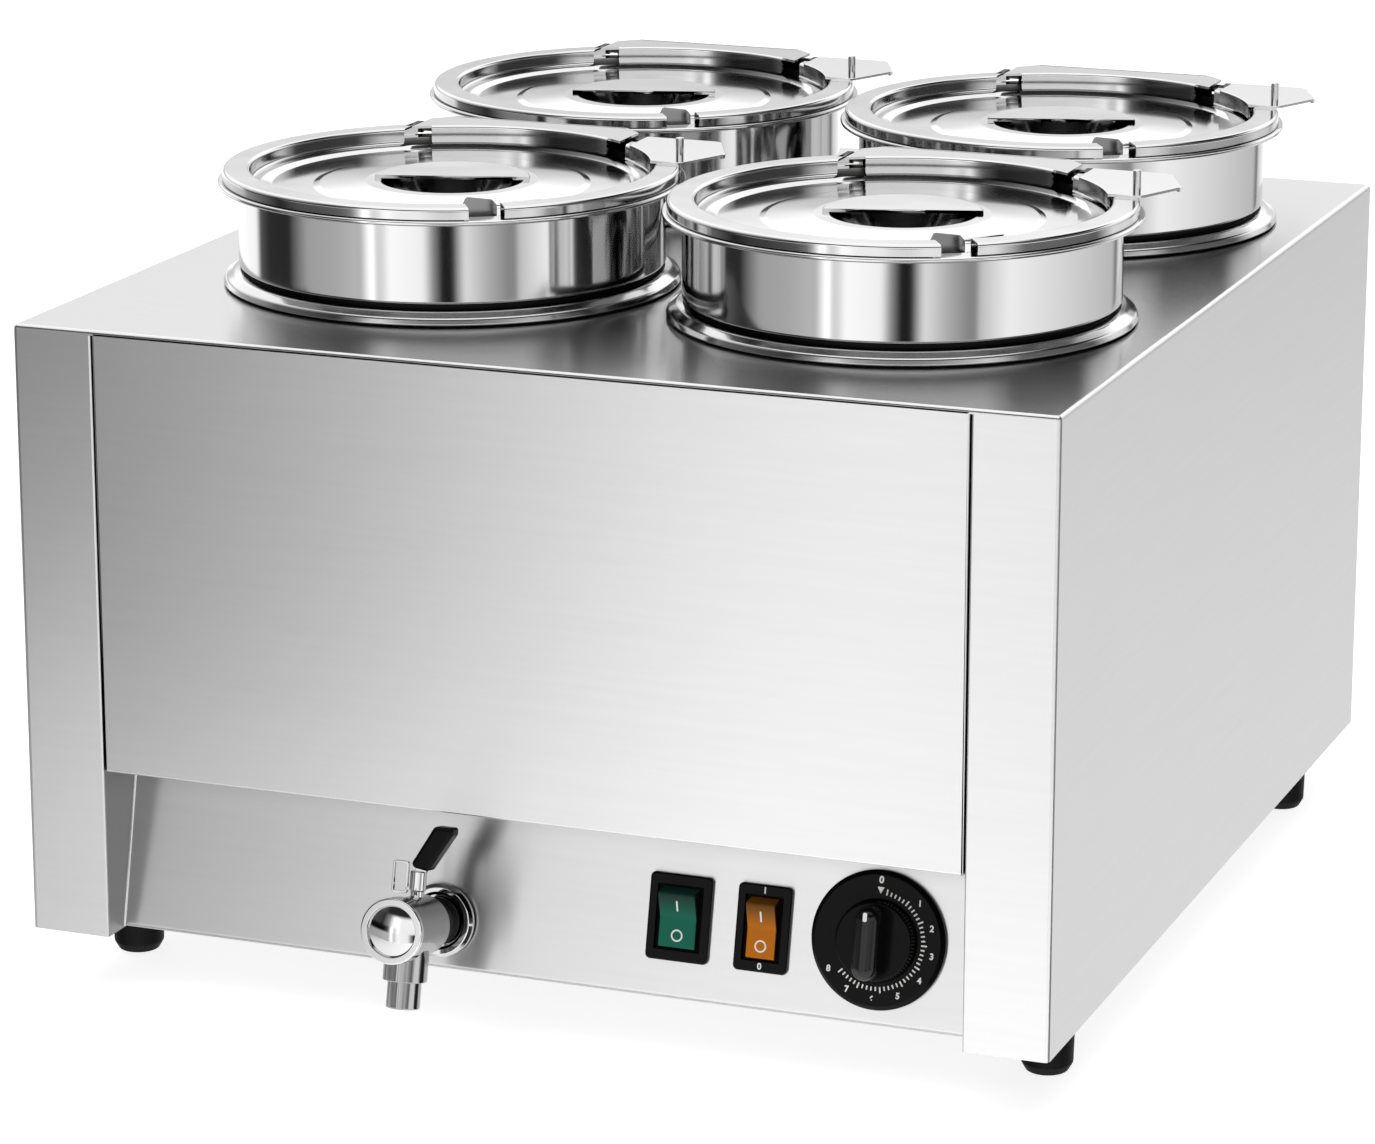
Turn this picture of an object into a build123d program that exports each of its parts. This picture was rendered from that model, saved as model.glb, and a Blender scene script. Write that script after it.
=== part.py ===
# Counter-top bain marie: a folded steel casing over a heated water tank, four lift-out
# pots with hinged lids, a drain tap, two rocker switches and a thermostat dial.
# Millimetres, +Z up, +X to the right seen from the front, the front faces -Y.
# The origin is on the ground, at the middle of the overall plan.
import math
import os

from build123d import *

os.makedirs("parts", exist_ok=True)

# Casing sheet work
casing_height = 300.0
ground_clearance = 30.0
sheet = 1.2
bend_radius = 2.4
deck_edge_radius = 2.2
deck_lip = 4.0
post_width = 41.0
post_depth = 46.0
rear_flange = 24.0
panel_groove = 1.2
panel_flange = 12.0
recess_height = 84.0
recess_depth_top = 35.0
recess_depth_bottom = 16.0
fold_clearance = 0.3

# Back panel, its vents and screws
vent_length = 42.0
vent_width = 5.0
vent_pitch_x = 60.0
vent_pitch_z = 13.0
vent_columns = 5
vent_rows = 5
vent_height = 60.0
screw_radius = 2.0
screw_hole_clearance = 0.2
screw_head_radius = 3.8
screw_head_height = 2.2
screw_length = 8.0
screw_rows = 4
screw_margin = 35.0

# Feet
foot_inset_x = 21.5
foot_inset_y = 69.0
foot_top_radius = 13.0
foot_waist_radius = 11.8
foot_bottom_radius = 10.6
foot_waist_height = 17.0
foot_round = 2.0
foot_recess_radius = 5.6
foot_recess_depth = 14.0
foot_screw_radius = 2.5
foot_screw_head_radius = 4.6
foot_screw_head_height = 3.5
foot_nut_height = 4.0
foot_screw_spare = 2.0
foot_fit = 0.1

# Pots and the collars that carry them
lid_gap_x = 8.6
lid_gap_y = 31.3
deck_margin_x = 30.2
deck_margin_y = 43.85
grid_offset_x = 11.4
grid_offset_y = 12.3
pot_inset = 14.5
pot_wall = 1.0
pot_depth = 120.0
pot_floor_round = 12.0
pot_shoulder_round = 1.2
band_inset = 7.2
band_round = 4.0
rim_height = 51.4
rim_overhang = 2.5
rim_thickness = 2.4
rim_round = 1.1
collar_overhang = 0.5
collar_height = 9.2
collar_gap = 1.6
collar_root_height = 5.8
collar_edge_height = 3.4
collar_spigot = 4.0
collar_spigot_wall = 1.4
collar_round = 0.6
collar_fit = 0.1
seat_clearance = 0.3

# Lids
lid_radius = 111.5
lid_wall = 1.0
lid_clearance = 0.3
lid_skirt = 5.3
lid_edge_round = 1.8
step_inset = 13.5
step_drop = 7.5
step_round = 1.6
ledge_width = 5.0
pan_slope = 5.0
pan_drop = 1.8
crease_inset = 22.0
crease_rise = 0.4
pan_rise = 1.8
pan_round = 6.0
cup_seat_radius = 42.0
cup_rim_radius = 34.5
cup_floor_radius = 24.0
cup_depth = 18.0
cup_round = 2.5
notch_azimuth = -58.0
notch_width = 17.0
notch_lip_height = 5.0
slit_azimuth = 22.0
slit_width = 7.0
slit_rim = 4.5
slit_drop = 5.0
grip_radius = 38.0
grip_thickness = 1.6
grip_round = 0.7
grip_turn = 17.0

# Lid hinge: a saddle on the rear of the pot's rim, a pin, and two ears on the lid
hinge_inset = 10.5
hinge_pin_radius = 2.0
hinge_pin_end = 1.0
hinge_clearance = 0.05
hinge_pin_gap = 0.6
saddle_sheet = 1.2
saddle_half_width = 56.5
saddle_chamfer = 10.0
saddle_gap = 2.0
saddle_wall_half_width = 47.5
saddle_wall_drop = 12.0
saddle_rear_lip = 5.0
saddle_block_half_width = 52.0
saddle_block_width = 4.0
ear_gap = 3.5
ear_thickness = 3.0
ear_radius = 3.0
ear_root = 15.0

# Lug on the lid: a plate with a tab, a turned-down inner edge and a peg
lug_gap = 1.5
lug_left = 64.5
lug_front = 36.5
lug_shoulder_inset = 6.5
lug_tip_reach = 6.0
lug_tip_y = 66.0
lug_back_inset = 7.5
lug_rear_inset = 15.5
lug_corner = 6.0
lug_sheet = 1.2
lug_fold = 3.0
lug_fold_gap = 1.0
lug_wall_gap = 1.4
peg_radius = 2.0
peg_height = 10.0
peg_inset = 11.5
peg_y = 49.0
peg_round = 0.6

# Water tank, heating and drain
tank_margin = 20.0
tank_corner = 15.0
tank_depth = 190.0
tank_flange = 8.0
element_radius = 4.0
element_gap = 0.2
element_from_bulb = 21.6
element_runs = 4
element_inset_front = 130.0
element_inset_back = 110.0
element_bend_flat = 10.0
element_cold_end = 35.0
element_cold_bend = 15.0
clamp_count = 3
clamp_pitch = 90.0
clamp_width = 20.0
clamp_sheet = 1.5
clamp_overhang = 16.0
cutout_radius = 12.5
cutout_height = 12.0
cutout_flange_radius = 17.0
cutout_flange = 1.5
cutout_from_side = 52.5
drain_radius = 7.0
drain_bore = 5.0
drain_bend = 14.0
drain_run = 20.0

# Tap
tap_from_left = 207.5
tap_height = 23.0
tap_length = 60.0
tap_tail = 30.0
tap_tail_radius = 8.0
tap_bore = 5.0
tap_fit = 0.1
tap_gasket_thickness = 1.5
tap_gasket_inset = 0.5
tap_flange_radius = 17.5
tap_flange_thickness = 4.0
tap_flange_bevel = 1.5
tap_neck_radius = 11.5
tap_body_start = 21.0
tap_body_radius = 15.5
tap_body_round = 3.5
tap_cap_thickness = 3.0
tap_cap_round = 0.8
tap_dome_radius = 11.0
tap_dome_height = 4.0
tap_dome_recess = 1.0
tap_nut_radius = 14.0
tap_nut_height = 6.0
spout_at = 39.0
spout_radius = 10.5
spout_drop = 25.0
nozzle_radius = 8.0
nozzle_length = 13.0
nozzle_round = 0.8
stem_at = 32.0
stem_radius = 3.2
stem_entry = 6.0
stem_clearance = 0.05
stem_height = 25.0
stem_end_gap = 0.5
lever_sheet = 1.2
lever_strip_width = 8.0
lever_rise = 30.0
lever_foot_gap = 1.2
lever_outer_leg = 12.5
lever_inner_leg = 5.6
lever_arm_start = 24.0
lever_arm_length = 12.0
lever_arm_width = 5.0
lever_arm_thickness = 2.4
lever_lean = 28.0
grip_bar_length = 20.0
grip_bar_width = 9.5
grip_bar_depth = 9.0
grip_bar_round = 2.0
grip_bar_start = 27.6
grip_bar_offset = 1.0

# Rocker switches
switch_height = 38.0
power_switch_from_dial = 98.0
heat_switch_from_dial = 56.5
power_bezel_width = 31.0
heat_bezel_width = 26.5
power_opening = 23.0
heat_opening = 19.0
bezel_height = 41.0
bezel_thickness = 2.4
bezel_corner = 2.5
bezel_round = 0.8
opening_height = 31.0
housing_wall = 1.9
housing_depth = 26.0
cavity_depth = 14.0
housing_fit = 0.2
rocker_gap = 1.4
rocker_radius = 14.5
rocker_face = 3.0
rocker_back = 5.0
rocker_angle = 24.0
rocker_round = 0.6
rocker_pin_radius = 1.5
rocker_pin_entry = 1.2
rocker_pin_clearance = 0.05

# Thermostat dial
dial_from_right = 89.5
dial_height = 39.5
dial_radius = 32.5
dial_thickness = 4.0
dial_bevel = 2.0
knob_gap = 0.5
knob_radius = 19.5
knob_skirt = 6.0
knob_taper = 1.2
knob_height = 20.0
knob_bar_width = 9.0
knob_bar_length = 37.0
knob_round = 1.5
knob_wall = 3.0
shaft_radius = 3.0
shaft_clearance = 0.05
shaft_hole_clearance = 0.6
shaft_entry = 10.0
shaft_end_gap = 0.5
thermostat_size = 36.0
thermostat_depth = 30.0
thermostat_round = 2.0
capillary_radius = 1.2
capillary_lead = 25.0
capillary_rise = 30.0
capillary_bend = 10.0
bulb_radius = 3.0
bulb_length = 70.0

# Mains entry
gland_from_side = 77.5
gland_height = 45.0
gland_reach = 14.0
gland_radius = 11.0
gland_thread_radius = 8.0
gland_thread_length = 9.0
gland_nut_height = 6.0
gland_cap_radius = 9.0
gland_cap_round = 2.0
gland_lock_nut_height = 5.0
gland_bore = 4.2
gland_fit = 0.1
terminal_from_side = 107.5
terminal_from_back = 70.0
terminal_length = 66.0
terminal_width = 24.0
terminal_height = 20.0
terminal_ways = 5
terminal_pitch = 12.0
terminal_screw_radius = 3.0
terminal_screw_depth = 6.0

# The lids set the pots under them, and the pots set the casing round them
pot_pitch_x = 2 * lid_radius + lid_gap_x
pot_pitch_y = 2 * lid_radius + lid_gap_y
casing_width = pot_pitch_x + 2 * (lid_radius + deck_margin_x)
casing_depth = pot_pitch_y + 2 * (lid_radius + deck_margin_y)
pot_radius = lid_radius - pot_inset
band_radius = lid_radius - band_inset
rim_radius = lid_radius + rim_overhang
collar_radius = lid_radius + collar_overhang
collar_bore = pot_radius + collar_gap
step_radius = lid_radius - step_inset
ledge_radius = step_radius - ledge_width
pan_radius = ledge_radius - pan_slope
crease_radius = pan_radius - crease_inset
slit_reach = lid_radius - slit_rim
hinge_y = lid_radius - hinge_inset
saddle_front_radius = step_radius - saddle_gap
lug_inner = step_radius - lug_gap
lug_shoulder = lid_radius - lug_shoulder_inset
lug_tip_x = lid_radius + lug_tip_reach
lug_back = lid_radius - lug_back_inset
lug_rear = lid_radius - lug_rear_inset
peg_x = lid_radius - peg_inset

# Heights and planes that follow from the sizes above
half_width = casing_width / 2
tap_x = tap_from_left - half_width
dial_x = half_width - dial_from_right
power_switch_x = dial_x - power_switch_from_dial
heat_switch_x = dial_x - heat_switch_from_dial
gland_x = gland_from_side - half_width
terminal_x = terminal_from_side - half_width
cutout_x = half_width - cutout_from_side
element_pitch = 2 * (dial_x - element_from_bulb - grid_offset_x) / (element_runs - 1)
element_bend = (element_pitch - element_bend_flat) / 2
post_inner_x = half_width - post_width
base_z = ground_clearance
deck_z = base_z + casing_height
lip_z = deck_z - deck_lip
recess_z = base_z + recess_height
base_plate_z = base_z + sheet
tank_top_z = deck_z - sheet
tank_under_z = tank_top_z - tank_depth

tilt = math.atan2(recess_depth_top - recess_depth_bottom, recess_height)
tilt_sin = math.sin(tilt)
tilt_cos = math.cos(tilt)


def up_slope(height):
    """Distance up the sloping control panel for a height above the casing's bottom."""
    return height / tilt_cos


tap_v = up_slope(tap_height)
switch_v = up_slope(switch_height)
dial_v = up_slope(dial_height)

# The tap reaches in front of the casing and the cable gland behind it: the plan is
# centred between the two.
tap_reach = (
    (tap_length - tap_cap_round) * tilt_cos
    + (tap_body_radius - tap_cap_round - tap_v) * tilt_sin
    + tap_cap_round
    - recess_depth_bottom
)
casing_front = (tap_reach - casing_depth - gland_reach) / 2
casing_back = casing_front + casing_depth
casing_mid_y = (casing_front + casing_back) / 2

# The control panel's outer face: local x to the right, y up the slope, z out of the panel
panel_plane = Plane(
    origin=(0, casing_front + recess_depth_bottom, base_z),
    x_dir=(1, 0, 0),
    z_dir=(0, -tilt_cos, tilt_sin),
)
rear_plane = Plane(origin=(0, casing_back, 0), x_dir=(-1, 0, 0), z_dir=(0, 1, 0))

panel_out = Axis((0, 0, 0), panel_plane.z_dir)

grid_centre = (grid_offset_x, casing_mid_y + grid_offset_y)
pot_centres = {
    f"{row}_{column}": (grid_centre[0] + side * pot_pitch_x / 2, grid_centre[1] + end * pot_pitch_y / 2)
    for row, end in (("front", -1), ("rear", 1))
    for column, side in (("left", -1), ("right", 1))
}
tank_width = pot_pitch_x + 2 * (pot_radius + tank_margin)
tank_length = pot_pitch_y + 2 * (pot_radius + tank_margin)
well_radius = collar_bore + collar_spigot_wall + collar_fit

screw_x = half_width - rear_flange / 2
screw_pitch_z = (casing_height - 2 * screw_margin) / (screw_rows - 1)
screw_points = [
    (side * screw_x, base_z + screw_margin + row * screw_pitch_z)
    for side in (-1, 1)
    for row in range(screw_rows)
]
foot_points = [
    (side * (half_width - foot_inset_x), y)
    for side in (-1, 1)
    for y in (casing_front + foot_inset_y, casing_back - foot_inset_y)
]


def save(piece, name):
    """Label a finished piece and write it under its name."""
    piece.part.label = name
    export_step(piece.part, f"parts/{name}.step")


def upright_plane(x, y, z):
    """Plane across X and Z through a point, for profiles turned about a vertical axis."""
    return Plane(origin=(x, y, z), x_dir=(1, 0, 0), z_dir=(0, -1, 0))


def panel_point(u, v, w=0.0):
    """World point of a place on the control panel, w out of its face."""
    return panel_plane.from_local_coords(Vector(u, v, w))


def panel_axial_plane(u, v):
    """Plane across X and the panel's normal, for profiles turned about that normal."""
    return Plane(origin=panel_point(u, v), x_dir=(1, 0, 0), z_dir=-panel_plane.y_dir)


def panel_axis(u, v):
    """Axis square to the control panel through a place on it."""
    return Axis(panel_point(u, v), panel_plane.z_dir)


def panel_side_plane(u, v):
    """Plane square to X: local x up the slope, y out of the panel."""
    return Plane(origin=panel_point(u, v), x_dir=panel_plane.y_dir, z_dir=(1, 0, 0))


# Side panels: one sheet each, folded round the front post and turned in at the rear
for name, side in (("left_side_panel", -1), ("right_side_panel", 1)):
    outline = [
        (side * post_inner_x, casing_front + post_depth),
        (side * post_inner_x, casing_front),
        (side * half_width, casing_front),
        (side * half_width, casing_back),
        (side * (half_width - rear_flange), casing_back),
    ]
    with BuildPart() as side_panel:
        with BuildSketch(Plane.XY.offset(base_z)):
            with BuildLine():
                folded = FilletPolyline(*outline, radius=bend_radius)
                offset(folded, amount=sheet, side=Side.LEFT if side > 0 else Side.RIGHT)
            make_face()
        extrude(amount=lip_z - base_z)
        with BuildSketch(rear_plane):
            with Locations(*[(-x, z) for x, z in screw_points if x * side > 0]):
                Circle(screw_radius + screw_hole_clearance)
        extrude(amount=-2 * sheet, mode=Mode.SUBTRACT)
    save(side_panel, name)

# Front panel: flat between the posts, its lower edge folded back as the recess's ceiling
front_half_width = post_inner_x - panel_groove
with BuildPart() as front_panel:
    with BuildSketch(Plane.YZ.offset(-front_half_width)):
        with BuildLine():
            front_fold = FilletPolyline(
                (casing_front, lip_z),
                (casing_front, recess_z),
                (casing_front + recess_depth_top + panel_flange, recess_z),
                radius=bend_radius,
            )
            offset(front_fold, amount=sheet, side=Side.LEFT)
        make_face()
    extrude(amount=2 * front_half_width)
save(front_panel, "front_panel")

# Control panel: sloping sheet with a flange at its foot and one under the front panel
switches = {
    "power": (power_switch_x, power_bezel_width, power_opening),
    "heat": (heat_switch_x, heat_bezel_width, heat_opening),
}
housing_height = opening_height + 2 * housing_wall
with BuildPart() as control_panel:
    with BuildSketch(Plane.YZ.offset(-post_inner_x)):
        with BuildLine():
            panel_fold = FilletPolyline(
                (casing_front + recess_depth_bottom + panel_flange, base_z),
                (casing_front + recess_depth_bottom, base_z),
                (casing_front + recess_depth_top, recess_z),
                (casing_front + recess_depth_top + panel_flange, recess_z),
                radius=bend_radius,
            )
            offset(panel_fold, amount=sheet, side=Side.RIGHT)
        make_face()
    extrude(amount=2 * post_inner_x)
    with BuildSketch(panel_plane):
        with Locations((tap_x, tap_v)):
            Circle(tap_tail_radius + tap_fit)
        with Locations((dial_x, dial_v)):
            Circle(shaft_radius + shaft_hole_clearance)
        for switch_x, bezel_width, opening_width in switches.values():
            with Locations((switch_x, switch_v)):
                Rectangle(
                    opening_width + 2 * (housing_wall + housing_fit),
                    housing_height + 2 * housing_fit,
                )
    extrude(amount=-2 * sheet, mode=Mode.SUBTRACT)
save(control_panel, "control_panel")

# Back panel: screwed inside the rear flanges, with rows of vents and the mains entry
back_half_width = half_width - bend_radius - fold_clearance
back_top_z = deck_z - bend_radius
with BuildPart() as back_panel:
    with BuildSketch(rear_plane.offset(-sheet)):
        with Locations((0, (base_z + back_top_z) / 2)):
            Rectangle(2 * back_half_width, back_top_z - base_z)
        with Locations(*[(-x, z) for x, z in screw_points]):
            Circle(screw_radius + screw_hole_clearance, mode=Mode.SUBTRACT)
        with Locations((0, base_z + vent_height)):
            with GridLocations(vent_pitch_x, vent_pitch_z, vent_columns, vent_rows):
                SlotOverall(vent_length, vent_width, mode=Mode.SUBTRACT)
        with Locations((-gland_x, base_z + gland_height)):
            Circle(gland_thread_radius + gland_fit, mode=Mode.SUBTRACT)
    extrude(amount=-sheet)
save(back_panel, "back_panel")

# Casing screws: pan heads through the rear flanges into the back panel
with BuildPart() as casing_screws:
    with BuildSketch(rear_plane):
        with Locations(*[(-x, z) for x, z in screw_points]):
            Circle(screw_head_radius)
    extrude(amount=screw_head_height)
    head_rims = casing_screws.faces().filter_by(Axis.Y).sort_by(Axis.Y)[-len(screw_points):].edges()
    fillet(head_rims, radius=screw_head_height / 2)
    with BuildSketch(rear_plane):
        with Locations(*[(-x, z) for x, z in screw_points]):
            Circle(screw_radius)
    extrude(amount=-screw_length)
save(casing_screws, "casing_screws")

# Top deck: one sheet with a turned-down edge and four wells
with BuildPart() as top_deck:
    with BuildSketch(Plane.XY.offset(lip_z)):
        with Locations((0, casing_mid_y)):
            RectangleRounded(casing_width, casing_depth, bend_radius)
    extrude(amount=deck_lip)
    fillet(top_deck.faces().sort_by(Axis.Z)[-1].edges(), radius=deck_edge_radius)
    with BuildSketch(Plane.XY.offset(lip_z)):
        with Locations((0, casing_mid_y)):
            RectangleRounded(casing_width - 2 * sheet, casing_depth - 2 * sheet, bend_radius - sheet)
    extrude(amount=deck_lip - sheet, mode=Mode.SUBTRACT)
    with BuildSketch(Plane.XY.offset(deck_z)):
        with Locations(*pot_centres.values()):
            Circle(well_radius)
    extrude(amount=-sheet, mode=Mode.SUBTRACT)
save(top_deck, "top_deck")

# Base plate: floor of the casing, with a tongue that lies on the control panel's flange
plate_front = casing_front + post_depth + fold_clearance
plate_back = casing_back - 2 * sheet
tongue_front = casing_front + recess_depth_bottom + 2 * bend_radius
with BuildPart() as base_plate:
    with BuildSketch(Plane.XY.offset(base_plate_z)):
        with Locations((0, (plate_front + plate_back) / 2)):
            Rectangle(casing_width - 2 * sheet, plate_back - plate_front)
        with Locations((0, (tongue_front + plate_front) / 2)):
            Rectangle(2 * post_inner_x, plate_front - tongue_front)
        with Locations(*foot_points):
            Circle(foot_screw_radius + foot_fit, mode=Mode.SUBTRACT)
    extrude(amount=sheet)
save(base_plate, "base_plate")

# Rubber feet: tapered, with a recess for the screw head
with BuildPart() as rubber_feet:
    for x, y in foot_points:
        with BuildSketch(upright_plane(x, y, 0)):
            with BuildLine():
                FilletPolyline(
                    (foot_recess_radius, 0),
                    (foot_bottom_radius, 0),
                    (foot_waist_radius, foot_waist_height),
                    (foot_top_radius, foot_waist_height + foot_round),
                    (foot_top_radius, base_plate_z),
                    radius=[foot_round, foot_round, foot_round / 2],
                )
                Polyline(
                    (foot_top_radius, base_plate_z),
                    (foot_screw_radius + foot_fit, base_plate_z),
                    (foot_screw_radius + foot_fit, foot_recess_depth),
                    (foot_recess_radius, foot_recess_depth),
                    (foot_recess_radius, 0),
                )
            make_face()
        revolve(axis=Axis((x, y, 0), (0, 0, 1)))
save(rubber_feet, "rubber_feet")

# Foot screws, each with its nut above the base plate
plate_top_z = base_plate_z + sheet
foot_screw_top = plate_top_z + foot_nut_height + foot_screw_spare
with BuildPart() as foot_screws:
    with BuildSketch(Plane.XY.offset(foot_recess_depth)):
        with Locations(*foot_points):
            Circle(foot_screw_head_radius)
    extrude(amount=-foot_screw_head_height)
    with BuildSketch(Plane.XY.offset(foot_recess_depth)):
        with Locations(*foot_points):
            Circle(foot_screw_radius)
    extrude(amount=foot_screw_top - foot_recess_depth)
    with BuildSketch(Plane.XY.offset(plate_top_z)):
        with Locations(*foot_points):
            RegularPolygon(foot_screw_head_radius, 6)
            Circle(foot_screw_radius + foot_fit, mode=Mode.SUBTRACT)
    extrude(amount=foot_nut_height)
save(foot_screws, "foot_screws")

# Well collars: raised rings round the wells, with a spigot through the deck
with BuildPart() as well_collars:
    for x, y in pot_centres.values():
        with BuildSketch(upright_plane(x, y, deck_z)) as collar_section:
            with BuildLine():
                Polyline(
                    (collar_bore + collar_spigot_wall, -collar_spigot),
                    (collar_bore + collar_spigot_wall, collar_root_height - collar_spigot_wall),
                    (collar_radius, collar_edge_height - collar_spigot_wall),
                    (collar_radius, collar_edge_height),
                    (collar_bore + collar_spigot_wall, collar_root_height),
                    (collar_bore + collar_spigot_wall, collar_height),
                    (collar_bore, collar_height),
                    (collar_bore, -collar_spigot),
                    close=True,
                )
            make_face()
            tips = collar_section.vertices()
            fillet(tips.group_by(Axis.Y)[-1] + tips.sort_by(Axis.X)[-2:], radius=collar_round)
        revolve(axis=Axis((x, y, 0), (0, 0, 1)))
save(well_collars, "well_collars")

# Water tank: open box hung by its flange under the deck
drain_start = panel_point(tap_x, tap_v, -tap_tail)
drain_turn = panel_point(tap_x, tap_v, -tap_tail - drain_run)
with BuildPart() as water_tank:
    with BuildSketch(Plane.XY.offset(tank_under_z)):
        with Locations(grid_centre):
            RectangleRounded(tank_width, tank_length, tank_corner)
    extrude(amount=tank_depth)
    with BuildSketch(Plane.XY.offset(tank_top_z)):
        with Locations(grid_centre):
            RectangleRounded(
                tank_width + 2 * tank_flange,
                tank_length + 2 * tank_flange,
                tank_corner + tank_flange,
            )
    extrude(amount=-sheet)
    with BuildSketch(Plane.XY.offset(tank_under_z + sheet)):
        with Locations(grid_centre):
            RectangleRounded(tank_width - 2 * sheet, tank_length - 2 * sheet, tank_corner - sheet)
    extrude(amount=tank_depth, mode=Mode.SUBTRACT)
    with BuildSketch(Plane.XY.offset(tank_under_z)):
        with Locations((tap_x, drain_turn.Y)):
            Circle(drain_bore)
    extrude(amount=sheet, mode=Mode.SUBTRACT)
save(water_tank, "water_tank")

# Heating element: one tube bent to and fro under the tank, with turned-down cold ends
element_z = tank_under_z - element_gap - element_radius
element_low_y = casing_front + element_inset_front
element_high_y = casing_back - element_inset_back
element_xs = [
    grid_offset_x + (run - (element_runs - 1) / 2) * element_pitch for run in range(element_runs)
]
element_points = [(element_xs[0], element_low_y, element_z - element_cold_end)]
for run, x in enumerate(element_xs):
    ends = (element_low_y, element_high_y) if run % 2 == 0 else (element_high_y, element_low_y)
    element_points += [(x, y, element_z) for y in ends]
last_x, last_y, last_z = element_points[-1]
element_points.append((last_x, last_y, last_z - element_cold_end))
element_bends = [element_cold_bend] + [element_bend] * (2 * element_runs - 2) + [element_cold_bend]
with BuildPart() as heating_element:
    with BuildLine() as element_route:
        FilletPolyline(*element_points, radius=element_bends)
    with BuildSketch(Plane(origin=element_points[0], z_dir=(0, 0, 1))):
        Circle(element_radius)
    sweep(path=element_route.wires()[0])
save(heating_element, "heating_element")

# Element clamps: strips under the tube, with legs up to the tank
clamp_z = element_z - element_radius - element_gap
clamp_left = element_xs[0] - clamp_overhang
clamp_right = element_xs[-1] + clamp_overhang
with BuildPart() as element_clamps:
    for index in range(clamp_count):
        clamp_y = casing_mid_y + (index - (clamp_count - 1) / 2) * clamp_pitch
        with BuildSketch(upright_plane(0, clamp_y, 0)):
            with BuildLine():
                strip = Polyline(
                    (clamp_left, tank_under_z),
                    (clamp_left, clamp_z),
                    (clamp_right, clamp_z),
                    (clamp_right, tank_under_z),
                )
                offset(strip, amount=clamp_sheet, side=Side.RIGHT)
            make_face()
        extrude(amount=clamp_width / 2, both=True)
save(element_clamps, "element_clamps")

# Safety cut-out: a disc thermostat pressed against the tank's underside
with BuildPart() as safety_cutout:
    with BuildSketch(Plane.XY.offset(tank_under_z)):
        with Locations((cutout_x, casing_mid_y)):
            Circle(cutout_flange_radius)
    extrude(amount=-cutout_flange)
    with BuildSketch(Plane.XY.offset(tank_under_z - cutout_flange)):
        with Locations((cutout_x, casing_mid_y)):
            Circle(cutout_radius)
    extrude(amount=-cutout_height)
save(safety_cutout, "safety_cutout")

# Drain pipe: from the tank's floor down to the tail of the tap
with BuildPart() as drain_pipe:
    with BuildLine() as drain_route:
        FilletPolyline(
            drain_start,
            drain_turn,
            (tap_x, drain_turn.Y, tank_under_z),
            radius=drain_bend,
        )
    with BuildSketch(Plane(origin=drain_start, z_dir=-panel_plane.z_dir)):
        Circle(drain_radius)
        Circle(drain_bore, mode=Mode.SUBTRACT)
    sweep(path=drain_route.wires()[0])
save(drain_pipe, "drain_pipe")

# Tap fixings: gasket and flange outside the panel, lock nut behind it
with BuildPart() as tap_gasket:
    with BuildSketch(panel_plane):
        with Locations((tap_x, tap_v)):
            Circle(tap_flange_radius - tap_gasket_inset)
            Circle(tap_tail_radius + tap_fit, mode=Mode.SUBTRACT)
    extrude(amount=tap_gasket_thickness)
save(tap_gasket, "tap_gasket")

with BuildPart() as tap_flange:
    with BuildSketch(panel_plane.offset(tap_gasket_thickness)):
        with Locations((tap_x, tap_v)):
            Circle(tap_flange_radius)
            Circle(tap_tail_radius + tap_fit, mode=Mode.SUBTRACT)
    extrude(amount=tap_flange_thickness)
    flange_rim = tap_flange.edges().filter_by(GeomType.CIRCLE).sort_by(SortBy.RADIUS)[-2:]
    chamfer(flange_rim.sort_by(panel_out)[-1], length=tap_flange_bevel)
save(tap_flange, "tap_flange")

with BuildPart() as tap_lock_nut:
    with BuildSketch(panel_plane.offset(-sheet)):
        with Locations((tap_x, tap_v)):
            RegularPolygon(tap_nut_radius, 6)
            Circle(tap_tail_radius + tap_fit, mode=Mode.SUBTRACT)
    extrude(amount=-tap_nut_height)
save(tap_lock_nut, "tap_lock_nut")

# Tap body: tail, neck and barrel turned about the tap's axis, with the spout below
neck_start = tap_gasket_thickness + tap_flange_thickness
cap_seat = tap_length - tap_cap_thickness
spout_plane = Plane(
    origin=panel_point(tap_x, tap_v, spout_at), x_dir=(1, 0, 0), z_dir=-panel_plane.y_dir
)
stem_plane = Plane(
    origin=panel_point(tap_x, tap_v, stem_at), x_dir=(1, 0, 0), z_dir=panel_plane.y_dir
)
with BuildPart() as tap_body:
    with BuildSketch(panel_axial_plane(tap_x, tap_v)) as tap_section:
        with BuildLine():
            Polyline(
                (tap_bore, -tap_tail),
                (tap_tail_radius, -tap_tail),
                (tap_tail_radius, neck_start),
                (tap_neck_radius, neck_start),
                (tap_neck_radius, tap_body_start),
                (tap_body_radius, tap_body_start),
                (tap_body_radius, cap_seat),
                (0, cap_seat),
                (0, spout_at),
                (tap_bore, spout_at),
                close=True,
            )
        make_face()
        barrel_corner = tap_section.vertices().group_by(Axis.X)[-1].sort_by(Axis.Y)[0]
        fillet(barrel_corner, radius=tap_body_round)
    revolve(axis=panel_axis(tap_x, tap_v))
    with BuildSketch(spout_plane):
        Circle(spout_radius)
    extrude(amount=spout_drop)
    with BuildSketch(spout_plane):
        Circle(tap_bore)
    extrude(amount=spout_drop, mode=Mode.SUBTRACT)
    with BuildSketch(stem_plane.offset(stem_entry)):
        Circle(stem_radius + stem_clearance)
    extrude(amount=tap_body_radius, mode=Mode.SUBTRACT)
save(tap_body, "tap_body")

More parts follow.
